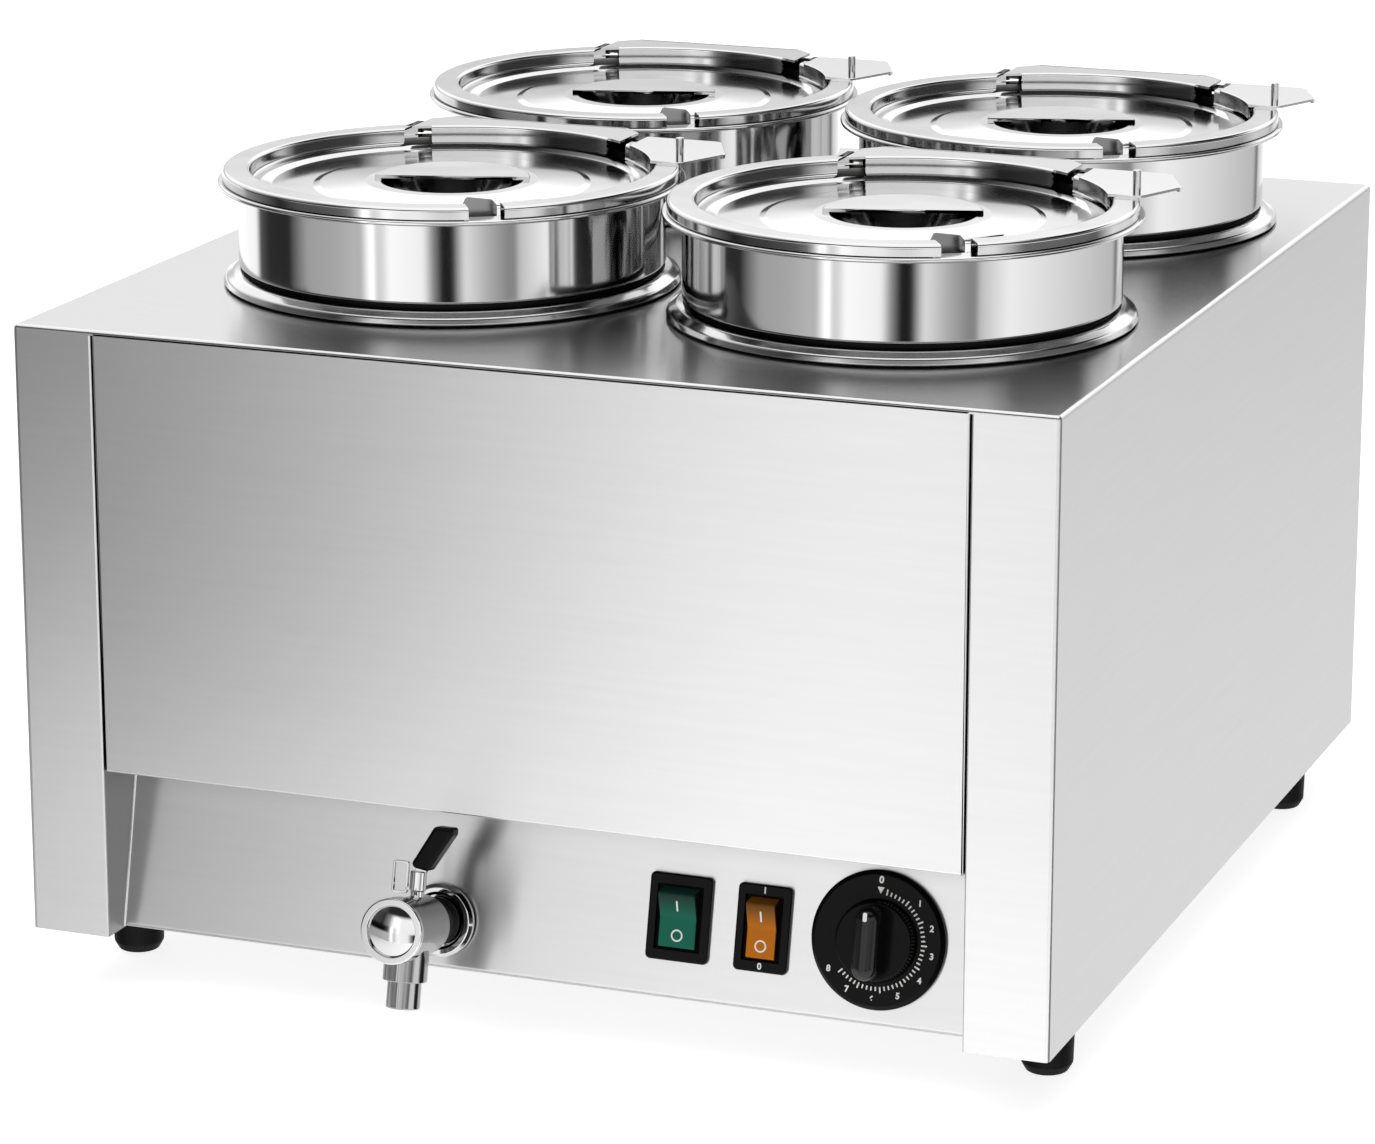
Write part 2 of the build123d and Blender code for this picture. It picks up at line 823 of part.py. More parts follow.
# Tap cap: flat ring round a shallow polished dome
dome_sphere = (tap_dome_radius**2 + tap_dome_height**2) / (2 * tap_dome_height)
dome_angle = math.degrees(math.asin(tap_dome_radius / dome_sphere))
dome_base = tap_length - tap_dome_recess
with BuildPart() as tap_face_cap:
    with BuildSketch(panel_axial_plane(tap_x, tap_v)) as cap_section:
        with BuildLine():
            dome = JernArc((0, dome_base + tap_dome_height), (1, 0), dome_sphere, -dome_angle)
            Polyline(
                dome @ 1,
                (tap_dome_radius, tap_length),
                (tap_body_radius, tap_length),
                (tap_body_radius, cap_seat),
                (0, cap_seat),
                dome @ 0,
            )
        make_face()
        cap_corner = cap_section.vertices().group_by(Axis.X)[-1].sort_by(Axis.Y)[-1]
        fillet(cap_corner, radius=tap_cap_round)
    revolve(axis=panel_axis(tap_x, tap_v))
save(tap_face_cap, "tap_face_cap")

with BuildPart() as tap_nozzle:
    with BuildSketch(spout_plane.offset(spout_drop)):
        Circle(nozzle_radius)
        Circle(tap_bore, mode=Mode.SUBTRACT)
    extrude(amount=nozzle_length)
    nozzle_lip = tap_nozzle.edges().filter_by(GeomType.CIRCLE).sort_by(Axis.Z)[:2]
    fillet(nozzle_lip.sort_by(SortBy.RADIUS)[-1], radius=nozzle_round)
save(tap_nozzle, "tap_nozzle")

# Tap lever: the stem, a folded strip beside it and a leaning arm
lever_plane = panel_plane.offset(stem_at)
lever_base_v = tap_v + tap_body_radius + lever_foot_gap
lever_top_v = tap_v + lever_rise
lean_x = math.sin(math.radians(lever_lean))
lean_v = math.cos(math.radians(lever_lean))
arm_centre = (
    tap_x + lean_x * lever_arm_length / 2,
    tap_v + lever_arm_start + lean_v * lever_arm_length / 2,
)
with BuildPart() as tap_lever:
    with BuildSketch(stem_plane.offset(stem_entry + stem_end_gap)):
        Circle(stem_radius)
    extrude(amount=stem_height - stem_entry - stem_end_gap)
    with BuildSketch(lever_plane):
        for bar_v in (lever_base_v + lever_sheet / 2, lever_top_v - lever_sheet / 2):
            with Locations((tap_x - (lever_outer_leg + lever_inner_leg) / 2, bar_v)):
                Rectangle(lever_outer_leg - lever_inner_leg + lever_sheet, lever_sheet)
        for leg in (lever_outer_leg, lever_inner_leg):
            with Locations((tap_x - leg, (lever_base_v + lever_top_v) / 2)):
                Rectangle(lever_sheet, lever_top_v - lever_base_v)
        with Locations((tap_x - lever_inner_leg / 2, lever_base_v + lever_sheet / 2)):
            Rectangle(lever_inner_leg, lever_sheet)
    extrude(amount=lever_strip_width / 2, both=True)
    with BuildSketch(lever_plane):
        with Locations(arm_centre):
            Rectangle(lever_arm_width, lever_arm_length, rotation=-lever_lean)
    extrude(amount=lever_arm_thickness / 2, both=True)
save(tap_lever, "tap_lever")

# Tap grip: moulded bar pushed over the arm
bar_centre = (
    tap_x + grip_bar_offset + lean_x * grip_bar_length / 2,
    tap_v + grip_bar_start + lean_v * grip_bar_length / 2,
)
with BuildPart() as tap_grip:
    with BuildSketch(lever_plane):
        with Locations(bar_centre):
            Rectangle(grip_bar_width, grip_bar_length, rotation=-lever_lean)
    extrude(amount=grip_bar_depth / 2, both=True)
    fillet(tap_grip.edges(), radius=grip_bar_round)
    with BuildSketch(lever_plane):
        with Locations(arm_centre):
            Rectangle(
                lever_arm_width + 2 * stem_clearance,
                lever_arm_length + 2 * stem_clearance,
                rotation=-lever_lean,
            )
    extrude(amount=lever_arm_thickness / 2 + stem_clearance, both=True, mode=Mode.SUBTRACT)
save(tap_grip, "tap_grip")

# Rocker switches: a bezel with its housing through the panel, and a rocker on two pins
for label, (switch_x, bezel_width, opening_width) in switches.items():
    pivot_plane = panel_side_plane(switch_x, switch_v)
    rocker_width = opening_width - 2 * rocker_gap
    pin_reach = opening_width / 2 + rocker_pin_entry
    with BuildPart() as bezel:
        with BuildSketch(panel_plane):
            with Locations((switch_x, switch_v)):
                RectangleRounded(bezel_width, bezel_height, bezel_corner)
        extrude(amount=bezel_thickness)
        fillet(bezel.faces().sort_by(panel_out)[-1].edges(), radius=bezel_round)
        with BuildSketch(panel_plane):
            with Locations((switch_x, switch_v)):
                Rectangle(opening_width + 2 * housing_wall, housing_height)
        extrude(amount=-housing_depth)
        with BuildSketch(panel_plane.offset(bezel_thickness)):
            with Locations((switch_x, switch_v)):
                Rectangle(opening_width, opening_height)
        extrude(amount=-(bezel_thickness + cavity_depth), mode=Mode.SUBTRACT)
        with BuildSketch(pivot_plane):
            Circle(rocker_pin_radius + rocker_pin_clearance)
        extrude(amount=pin_reach + rocker_pin_clearance, both=True, mode=Mode.SUBTRACT)
    save(bezel, f"{label}_switch_bezel")

    with BuildPart() as rocker:
        with BuildSketch(pivot_plane):
            with BuildLine():
                Polyline(
                    (-rocker_radius, -rocker_back),
                    (rocker_radius, -rocker_back),
                    (rocker_radius, rocker_face + rocker_radius * math.tan(math.radians(rocker_angle))),
                    (0, rocker_face),
                    (-rocker_radius, rocker_face),
                    close=True,
                )
            make_face()
            Circle(rocker_radius, mode=Mode.INTERSECT)
        extrude(amount=rocker_width / 2, both=True)
        fillet(rocker.faces().sort_by(Axis.X)[0].edges(), radius=rocker_round)
        fillet(rocker.faces().sort_by(Axis.X)[-1].edges(), radius=rocker_round)
        with BuildSketch(pivot_plane):
            Circle(rocker_pin_radius)
        extrude(amount=pin_reach, both=True)
    save(rocker, f"{label}_rocker")

# Dial plate: bevelled disc fixed to the panel
with BuildPart() as dial_plate:
    with BuildSketch(panel_plane):
        with Locations((dial_x, dial_v)):
            Circle(dial_radius)
            Circle(shaft_radius + shaft_hole_clearance, mode=Mode.SUBTRACT)
    extrude(amount=dial_thickness)
    dial_rim = dial_plate.edges().filter_by(GeomType.CIRCLE).sort_by(SortBy.RADIUS)[-2:]
    chamfer(dial_rim.sort_by(panel_out)[-1], length=dial_bevel)
save(dial_plate, "dial_plate")

# Thermostat knob: tapered skirt with a raised grip bar, bored for the shaft
knob_start = dial_thickness + knob_gap
shaft_end = knob_start + knob_height - knob_wall
with BuildPart() as thermostat_knob:
    with BuildSketch(panel_plane.offset(knob_start)):
        with Locations((dial_x, dial_v)):
            Circle(knob_radius)
    extrude(amount=knob_skirt, taper=math.degrees(math.atan2(knob_taper, knob_skirt)))
    with BuildSketch(panel_plane.offset(knob_start)):
        with Locations((dial_x, dial_v)):
            SlotOverall(knob_bar_length - 2 * knob_taper, knob_bar_width, rotation=90)
    extrude(amount=knob_height)
    fillet(thermostat_knob.faces().sort_by(panel_out)[-1].edges(), radius=knob_round)
    with BuildSketch(panel_plane.offset(knob_start)):
        with Locations((dial_x, dial_v)):
            Circle(shaft_radius + shaft_clearance)
    extrude(amount=shaft_end - knob_start, mode=Mode.SUBTRACT)
save(thermostat_knob, "thermostat_knob")

with BuildPart() as thermostat_shaft:
    with BuildSketch(panel_plane.offset(-sheet - shaft_entry)):
        with Locations((dial_x, dial_v)):
            Circle(shaft_radius)
    extrude(amount=shaft_end + sheet + shaft_entry)
save(thermostat_shaft, "thermostat_shaft")

# Thermostat body behind the panel, bored for the shaft
with BuildPart() as thermostat_body:
    with BuildSketch(panel_plane.offset(-sheet)):
        with Locations((dial_x, dial_v)):
            RectangleRounded(thermostat_size, thermostat_size, thermostat_round)
    extrude(amount=-thermostat_depth)
    with BuildSketch(panel_plane.offset(-sheet)):
        with Locations((dial_x, dial_v)):
            Circle(shaft_radius + shaft_clearance)
    extrude(amount=-shaft_entry - shaft_end_gap, mode=Mode.SUBTRACT)
save(thermostat_body, "thermostat_body")

# Thermostat bulb under the tank, on its capillary tube
capillary_start = panel_point(dial_x, dial_v, -sheet - thermostat_depth)
capillary_turn = panel_point(dial_x, dial_v, -sheet - thermostat_depth - capillary_lead)
bulb_z = tank_under_z - bulb_radius
bulb_start_y = capillary_turn.Y + capillary_rise + 2 * capillary_bend
bulb_end_y = bulb_start_y + bulb_length
with BuildPart() as thermostat_bulb:
    with BuildLine() as capillary_route:
        FilletPolyline(
            capillary_start,
            capillary_turn,
            (dial_x, capillary_turn.Y + capillary_rise, bulb_z),
            (dial_x, bulb_start_y, bulb_z),
            radius=capillary_bend,
        )
    with BuildSketch(Plane(origin=capillary_start, z_dir=-panel_plane.z_dir)):
        Circle(capillary_radius)
    sweep(path=capillary_route.wires()[0])
    with BuildSketch(upright_plane(dial_x, bulb_end_y, bulb_z)):
        Circle(bulb_radius)
    extrude(amount=bulb_length)
save(thermostat_bulb, "thermostat_bulb")

# Cable gland at the back, with its lock nut inside
gland_plane = rear_plane.offset(-sheet)
with BuildPart() as cable_gland:
    with BuildSketch(gland_plane):
        with Locations((-gland_x, base_z + gland_height)):
            RegularPolygon(gland_radius, 6)
    extrude(amount=gland_nut_height)
    with BuildSketch(gland_plane):
        with Locations((-gland_x, base_z + gland_height)):
            Circle(gland_cap_radius)
    extrude(amount=gland_reach + sheet)
    gland_mouth = cable_gland.edges().filter_by(GeomType.CIRCLE).sort_by(Axis.Y)[-1]
    fillet(gland_mouth, radius=gland_cap_round)
    with BuildSketch(gland_plane):
        with Locations((-gland_x, base_z + gland_height)):
            Circle(gland_thread_radius)
    extrude(amount=-gland_thread_length)
    with BuildSketch(gland_plane.offset(gland_reach + sheet)):
        with Locations((-gland_x, base_z + gland_height)):
            Circle(gland_bore)
    extrude(amount=-(gland_reach + sheet + gland_thread_length), mode=Mode.SUBTRACT)
save(cable_gland, "cable_gland")

with BuildPart() as gland_lock_nut:
    with BuildSketch(gland_plane.offset(-sheet)):
        with Locations((-gland_x, base_z + gland_height)):
            RegularPolygon(gland_radius, 6)
            Circle(gland_thread_radius + gland_fit, mode=Mode.SUBTRACT)
    extrude(amount=-gland_lock_nut_height)
save(gland_lock_nut, "gland_lock_nut")

# Terminal block on the base plate, with a row of screw wells
terminal_y = casing_back - terminal_from_back
with BuildPart() as terminal_block:
    with BuildSketch(Plane.XY.offset(plate_top_z)):
        with Locations((terminal_x, terminal_y)):
            Rectangle(terminal_length, terminal_width)
    extrude(amount=terminal_height)
    with BuildSketch(Plane.XY.offset(plate_top_z + terminal_height)):
        with Locations((terminal_x, terminal_y)):
            with GridLocations(terminal_pitch, terminal_width / 2, terminal_ways, 2):
                Circle(terminal_screw_radius)
    extrude(amount=-terminal_screw_depth, mode=Mode.SUBTRACT)
save(terminal_block, "terminal_block")

# Heights of the lid and its hinge above the deck
lid_top = rim_height + lid_clearance + lid_skirt
ledge_z = lid_top - step_drop
pan_z = ledge_z - pan_drop
crease_z = pan_z + crease_rise
cup_rim_z = pan_z + pan_rise
cup_floor_z = cup_rim_z - cup_depth
hinge_z = rim_height + hinge_pin_gap + hinge_pin_radius
saddle_top = lid_top + saddle_sheet
seat_z = collar_height + seat_clearance
rim_inner = band_radius - pot_wall
rim_centre = (rim_inner + rim_radius) / 2
lid_gap_half = saddle_half_width + ear_gap
pin_half_length = lid_gap_half + ear_thickness + hinge_pin_end

for corner, (pot_x, pot_y) in pot_centres.items():
    deck_plane = Plane(origin=(pot_x, pot_y, deck_z))
    pot_axis = Axis((pot_x, pot_y, 0), (0, 0, 1))
    hinge_plane = Plane(
        origin=(pot_x, pot_y + hinge_y, deck_z + hinge_z), x_dir=(0, 1, 0), z_dir=(1, 0, 0)
    )

    # Pot: one drawn wall with a shoulder that seats on the collar and a flat rim
    with BuildPart() as pot:
        with BuildSketch(upright_plane(pot_x, pot_y, deck_z)):
            with BuildLine():
                wall = FilletPolyline(
                    (0, -pot_depth),
                    (pot_radius, -pot_depth),
                    (pot_radius, seat_z),
                    (band_radius, seat_z),
                    (band_radius, rim_height - rim_thickness / 2),
                    radius=[pot_floor_round, pot_shoulder_round, band_round],
                )
                offset(wall, amount=pot_wall, side=Side.LEFT)
            make_face()
            with Locations((rim_centre, rim_height - rim_thickness / 2)):
                RectangleRounded(rim_radius - rim_inner, rim_thickness, rim_round)
        revolve(axis=pot_axis)
    save(pot, f"pot_{corner}")

    # Hinge saddle: plate over the rear of the rim, with a curved wall down into the pot
    with BuildPart() as saddle:
        with BuildSketch(deck_plane.offset(lid_top)) as saddle_plate:
            with Locations((0, rim_radius / 2)):
                Rectangle(2 * saddle_half_width, rim_radius)
            chamfer(saddle_plate.vertices().group_by(Axis.Y)[-1], length=saddle_chamfer)
            Circle(saddle_front_radius, mode=Mode.SUBTRACT)
        extrude(amount=saddle_sheet)
        with BuildSketch(deck_plane.offset(saddle_top - saddle_wall_drop)):
            Circle(saddle_front_radius + saddle_sheet)
            Circle(saddle_front_radius, mode=Mode.SUBTRACT)
            with Locations((0, rim_radius / 2)):
                Rectangle(2 * saddle_wall_half_width, rim_radius, mode=Mode.INTERSECT)
        extrude(amount=saddle_wall_drop)
        with BuildSketch(deck_plane.offset(saddle_top - saddle_rear_lip)):
            with Locations((0, rim_radius - saddle_sheet / 2)):
                Rectangle(2 * (saddle_half_width - saddle_chamfer), saddle_sheet)
        extrude(amount=saddle_rear_lip)
        with BuildSketch(deck_plane.offset(rim_height)):
            Circle(rim_centre + saddle_block_width / 2)
            Circle(rim_centre - saddle_block_width / 2, mode=Mode.SUBTRACT)
            with Locations((0, rim_radius / 2)):
                Rectangle(2 * saddle_block_half_width, rim_radius, mode=Mode.INTERSECT)
        extrude(amount=lid_top - rim_height)
        with BuildSketch(hinge_plane):
            Circle(hinge_pin_radius + hinge_clearance)
        extrude(amount=saddle_half_width, both=True, mode=Mode.SUBTRACT)
    save(saddle, f"hinge_saddle_{corner}")

    with BuildPart() as hinge_pin:
        with BuildSketch(hinge_plane):
            Circle(hinge_pin_radius)
        extrude(amount=pin_half_length, both=True)
    save(hinge_pin, f"hinge_pin_{corner}")

    # Lid: pressed pan with a finger cup, cut away at the hinge and notched for a ladle
    notch_plane = deck_plane.rotated((0, 0, notch_azimuth))
    slit_plane = deck_plane.rotated((0, 0, slit_azimuth))
    with BuildPart() as lid:
        with BuildSketch(upright_plane(pot_x, pot_y, deck_z)):
            with BuildLine():
                pressing = FilletPolyline(
                    (0, cup_floor_z),
                    (cup_floor_radius, cup_floor_z),
                    (cup_rim_radius, cup_rim_z),
                    (cup_seat_radius, cup_rim_z),
                    (crease_radius, crease_z),
                    (pan_radius, pan_z),
                    (ledge_radius, ledge_z),
                    (step_radius, ledge_z),
                    (step_radius, lid_top),
                    (lid_radius, lid_top),
                    (lid_radius, lid_top - lid_skirt),
                    radius=[cup_round, step_round]
                    + [pan_round] * 4
                    + [step_round, step_round, lid_edge_round],
                )
                offset(pressing, amount=lid_wall, side=Side.RIGHT)
            make_face()
        revolve(axis=pot_axis)
        with BuildSketch(deck_plane.offset(lid_top)):
            with Locations((0, (ledge_radius + lid_radius) / 2)):
                Rectangle(2 * lid_gap_half, lid_radius + ledge_radius)
            Circle(ledge_radius, mode=Mode.SUBTRACT)
            with Locations((0, -lid_radius / 2)):
                Rectangle(2 * lid_radius, lid_radius, mode=Mode.SUBTRACT)
        extrude(amount=-(step_drop + lid_wall), mode=Mode.SUBTRACT)
        with BuildSketch(notch_plane.offset(lid_top)):
            with Locations((pan_radius + lid_radius / 2, 0)):
                Rectangle(lid_radius, notch_width)
        extrude(amount=-(step_drop + pan_drop + lid_wall), mode=Mode.SUBTRACT)
        with BuildSketch(notch_plane.offset(pan_z - lid_wall)):
            with Locations((pan_radius - lid_wall / 2, 0)):
                Rectangle(lid_wall, notch_width)
        extrude(amount=notch_lip_height + lid_wall)
        with BuildSketch(slit_plane.offset(lid_top)):
            with Locations(((ledge_radius + slit_reach) / 2, 0)):
                Rectangle(slit_reach - ledge_radius, slit_width)
        extrude(amount=-slit_drop, mode=Mode.SUBTRACT)
        for side in (-1, 1):
            with BuildSketch(hinge_plane.offset(side * lid_gap_half)):
                Circle(ear_radius)
                with Locations((-ear_root / 2, lid_top - hinge_z - lid_wall / 2)):
                    Rectangle(ear_root, lid_wall)
                Circle(hinge_pin_radius + hinge_clearance, mode=Mode.SUBTRACT)
            extrude(amount=side * ear_thickness)
    save(lid, f"lid_{corner}")

    # Lid grip: crowned half disc over the rear of the finger cup
    with BuildPart() as lid_grip:
        with BuildSketch(deck_plane.offset(cup_rim_z).rotated((0, 0, grip_turn))):
            Circle(grip_radius)
            with Locations((0, grip_radius / 2)):
                Rectangle(2 * grip_radius, grip_radius, mode=Mode.INTERSECT)
        extrude(amount=grip_thickness)
        fillet(lid_grip.faces().sort_by(Axis.Z)[-1].edges(), radius=grip_round)
    save(lid_grip, f"lid_grip_{corner}")

    # Lid lug: plate beside the saddle with a folded tab, a curved wall and a peg
    with BuildPart() as lid_lug:
        with BuildSketch(deck_plane.offset(lid_top)) as lug_outline:
            Polygon(
                (lug_left, lug_front),
                (lug_shoulder, lug_front),
                (lug_tip_x, lug_tip_y),
                (lug_back, lug_rear),
                (lug_left, lug_rear),
                align=None,
            )
            fillet(lug_outline.vertices().sort_by(Axis.X)[-3:], radius=lug_corner)
            Circle(lug_inner, mode=Mode.SUBTRACT)
        extrude(amount=lug_sheet)
        with BuildSketch(deck_plane.offset(lid_top)):
            add(lug_outline.sketch_local)
            offset(amount=-lug_sheet, mode=Mode.SUBTRACT)
            Circle(lid_radius + lug_fold_gap, mode=Mode.SUBTRACT)
        extrude(amount=-lug_fold)
        with BuildSketch(deck_plane.offset(ledge_z + lug_wall_gap)):
            add(lug_outline.sketch_local)
            Circle(lug_inner + lug_sheet, mode=Mode.INTERSECT)
        extrude(amount=lid_top - ledge_z - lug_wall_gap)
        with BuildSketch(deck_plane.offset(saddle_top)):
            with Locations((peg_x, peg_y)):
                Circle(peg_radius)
        extrude(amount=peg_height)
        fillet(lid_lug.faces().sort_by(Axis.Z)[-1].edges(), radius=peg_round)
    save(lid_lug, f"lid_lug_{corner}")
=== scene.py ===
"""Looks of a counter-top bain marie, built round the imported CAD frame.

Every visible piece is a numpy surface in millimetres, placed in the frame's own
coordinates: +Z up, the front faces -Y and the ground is at Z = 0.
"""

import logging
import math
from dataclasses import dataclass
from enum import Enum
from typing import Any, Sequence

import bpy
import numpy as np
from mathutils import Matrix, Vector
from mathutils.geometry import tessellate_polygon


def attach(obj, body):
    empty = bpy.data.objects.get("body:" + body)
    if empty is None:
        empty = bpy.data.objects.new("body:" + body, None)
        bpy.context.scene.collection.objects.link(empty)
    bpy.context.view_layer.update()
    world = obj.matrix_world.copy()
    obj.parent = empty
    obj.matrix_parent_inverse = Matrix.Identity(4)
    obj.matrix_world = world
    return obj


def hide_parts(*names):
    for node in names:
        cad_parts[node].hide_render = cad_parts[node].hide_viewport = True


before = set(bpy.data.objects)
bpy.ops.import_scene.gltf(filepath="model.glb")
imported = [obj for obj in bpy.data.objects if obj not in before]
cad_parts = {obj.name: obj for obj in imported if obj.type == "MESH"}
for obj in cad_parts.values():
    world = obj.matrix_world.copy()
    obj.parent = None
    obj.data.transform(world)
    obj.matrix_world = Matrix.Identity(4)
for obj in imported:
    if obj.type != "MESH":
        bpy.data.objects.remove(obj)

logging.basicConfig(level=logging.INFO, format="%(name)s: %(message)s")
log = logging.getLogger("bain_marie")

Point = tuple[float, float]
Path = tuple[Point, ...]
Axis = tuple[float, float, float]
Colour = tuple[float, float, float, float]
Material = bpy.types.Material
Piece = bpy.types.Object
Socket = bpy.types.NodeSocket

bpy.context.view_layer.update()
MM = 0.001
TURN = 192  # strips round a large turned piece
AXIS = 0.02  # radius where a profile meets its axis
PRINT = (0.0, 0.02, 0.005)  # underside, top and edge of a printed mark
PRINT_GAP = 0.03  # a printed mark over its face
TEXT_GAP = 0.05  # printed figures over their face


class Corner(str, Enum):
    """The four wells, by their place on the deck."""

    FRONT_LEFT = "front_left"
    FRONT_RIGHT = "front_right"
    REAR_LEFT = "rear_left"
    REAR_RIGHT = "rear_right"


class Grain(Enum):
    """Which way a brushed sheet's lines run, with the axis across them."""

    ALONG_X = (0.0, 1.0, 0.0)
    LEVEL = (0.0, 0.0, 1.0)


@dataclass(frozen=True)
class Run:
    """A smooth stretch of a flat curve: places, their unit normals and whether it closes."""

    points: np.ndarray
    normals: np.ndarray
    closed: bool = False

    def part(self, rows: slice | np.ndarray) -> "Run":
        """The open stretch on some of its rows."""
        return Run(self.points[rows], self.normals[rows])


@dataclass(frozen=True)
class Place:
    """A local set of axes in millimetres."""

    origin: Axis = (0.0, 0.0, 0.0)
    x: Axis = (1.0, 0.0, 0.0)
    y: Axis = (0.0, 1.0, 0.0)
    z: Axis = (0.0, 0.0, 1.0)

    def vectors(self, local: np.ndarray) -> np.ndarray:
        """Directions in the frame for local directions."""
        return local @ np.array([self.x, self.y, self.z])

    def points(self, local: np.ndarray) -> np.ndarray:
        """Places in the frame for local places."""
        return np.array(self.origin) + self.vectors(local)

    def at(self, x: float, y: float, z: float = 0.0) -> "Place":
        """The same axes with the origin moved to a local place."""
        return Place(tuple(self.points(np.array([x, y, z], float))), self.x, self.y, self.z)

    def facing(self, x: str, y: str, z: str) -> "Place":
        """The same origin with axes picked by name, such as "x" or "-z"."""
        signed = ((-1 if name[0] == "-" else 1, np.array(getattr(self, name[-1]))) for name in (x, y, z))
        return Place(self.origin, *(tuple(sign * axis) for sign, axis in signed))

    def turned(self, degrees: float) -> "Place":
        """These axes turned about their own z."""
        c, s = math.cos(math.radians(degrees)), math.sin(math.radians(degrees))
        x, y = np.array(self.x), np.array(self.y)
        return Place(self.origin, tuple(c * x + s * y), tuple(c * y - s * x), self.z)

    def tipped(self, degrees: float) -> "Place":
        """These axes turned about their own x."""
        return self.facing("y", "z", "x").turned(degrees).facing("z", "x", "y")


def left_of(directions: np.ndarray) -> np.ndarray:
    """Normals on the left of flat directions."""
    return np.stack([-directions[..., 1], directions[..., 0]], -1)


def quarter(steps: int = 8) -> tuple[np.ndarray, np.ndarray]:
    """Sines and cosines over a quarter turn."""
    angle = np.linspace(0, np.pi / 2, steps + 1)
    return np.sin(angle), np.cos(angle)


def raised(flat: np.ndarray, z: float = 0.0) -> np.ndarray:
    """Flat places or directions with a third value."""
    return np.pad(flat, ((0, 0), (0, 1)), constant_values=z)


def layers(flat: np.ndarray, levels: Sequence[float]) -> np.ndarray:
    """Flat places or directions, once for each level."""
    return np.stack([raised(flat, z) for z in levels])


def rings(start: np.ndarray, way: np.ndarray, moves: Sequence[float], levels: Sequence[float]) -> np.ndarray:
    """Flat places moved some way along their normals, once for each move and level."""
    return np.stack([raised(start + way * move, z) for move, z in zip(moves, levels)])


def swept(angle: np.ndarray, profile: np.ndarray) -> np.ndarray:
    """A profile of (radius, height) at each angle of a turn about z."""
    r, h = profile.T
    return np.stack(np.broadcast_arrays(np.cos(angle) * r, np.sin(angle) * r, h), -1)


def rounded(
    points: Sequence[Point] | np.ndarray,
    radii: float | Sequence[float],
    closed: bool = False,
    side: int | None = None,
    step: float = 7.5,
) -> list[Run]:
    """A polyline with rounded corners, as smooth runs with exact normals.

    Args:
        points: Corners of the polyline.
        radii: One radius, or one per inner corner (per corner if closed). Zero keeps it sharp.
        closed: Whether the last corner joins the first.
        side: 1 for normals on the left, -1 for the right, None for outward from the area.
        step: Largest turn in degrees between neighbours on an arc.

    Returns:
        One run per smooth stretch.
    """
    corners = np.asarray(points, float)
    count = len(corners)
    radius = np.zeros(count)
    radius[slice(None) if closed else slice(1, -1)] = radii
    ahead = np.roll(corners, -1, 0)
    if side is None:
        area = np.sum(corners[:, 0] * ahead[:, 1] - corners[:, 1] * ahead[:, 0])
        side = -1 if area > 0 else 1
    heading = ahead - corners
    heading = heading / np.maximum(np.linalg.norm(heading, axis=1), 1e-9)[:, None]
    runs: list[Run] = []
    places: list[np.ndarray] = []
    normals: list[np.ndarray] = []

    def flush() -> None:
        """Close the run that is being gathered."""
        if places:
            runs.append(Run(np.concatenate(places), side * np.concatenate(normals)))
            places.clear()
            normals.clear()

    if not closed:
        places.append(corners[:1])
        normals.append(left_of(heading[:1]))
    for index in range(count) if closed else range(1, count - 1):
        before, after = heading[index - 1], heading[index]
        turn = math.atan2(before[0] * after[1] - before[1] * after[0], float(before @ after))
        size = radius[index]
        if size > 0 and abs(turn) > 1e-6:
            way = math.copysign(1.0, turn)
            start = corners[index] - before * size * math.tan(abs(turn) / 2)
            centre = start + way * size * left_of(before)
            angles = np.linspace(0, turn, max(2, math.ceil(abs(math.degrees(turn)) / step)) + 1)
            c, s = np.cos(angles), np.sin(angles)
            swung = np.stack([c * before[0] - s * before[1], s * before[0] + c * before[1]], -1)
            places.append(centre - way * size * left_of(swung))
            normals.append(left_of(swung))
        else:
            places.append(corners[index : index + 1])
            normals.append(left_of(before)[None])
            flush()
            places.append(corners[index : index + 1])
            normals.append(left_of(after)[None])
    if not closed:
        places.append(corners[-1:])
        normals.append(left_of(heading[-2:-1]))
    flush()
    if closed and len(runs) == 1:
        runs = [Run(runs[0].points, runs[0].normals, True)]
    return runs


def circle(radius: float, count: int = TURN, centre: Point = (0.0, 0.0)) -> Run:
    """A closed circle with outward normals."""
    angle = np.linspace(0, 2 * np.pi, count, endpoint=False)
    normals = np.stack([np.cos(angle), np.sin(angle)], -1)
    return Run(np.array(centre) + radius * normals, normals, True)


def box_outline(width: float, height: float, radius: float, centre: Point = (0.0, 0.0)) -> Run:
    """A closed rectangle with rounded corners."""
    x, y = width / 2, height / 2
    points = np.array(centre) + [(-x, -y), (x, -y), (x, y), (-x, y)]
    return rounded(points, radius, closed=True)[0]


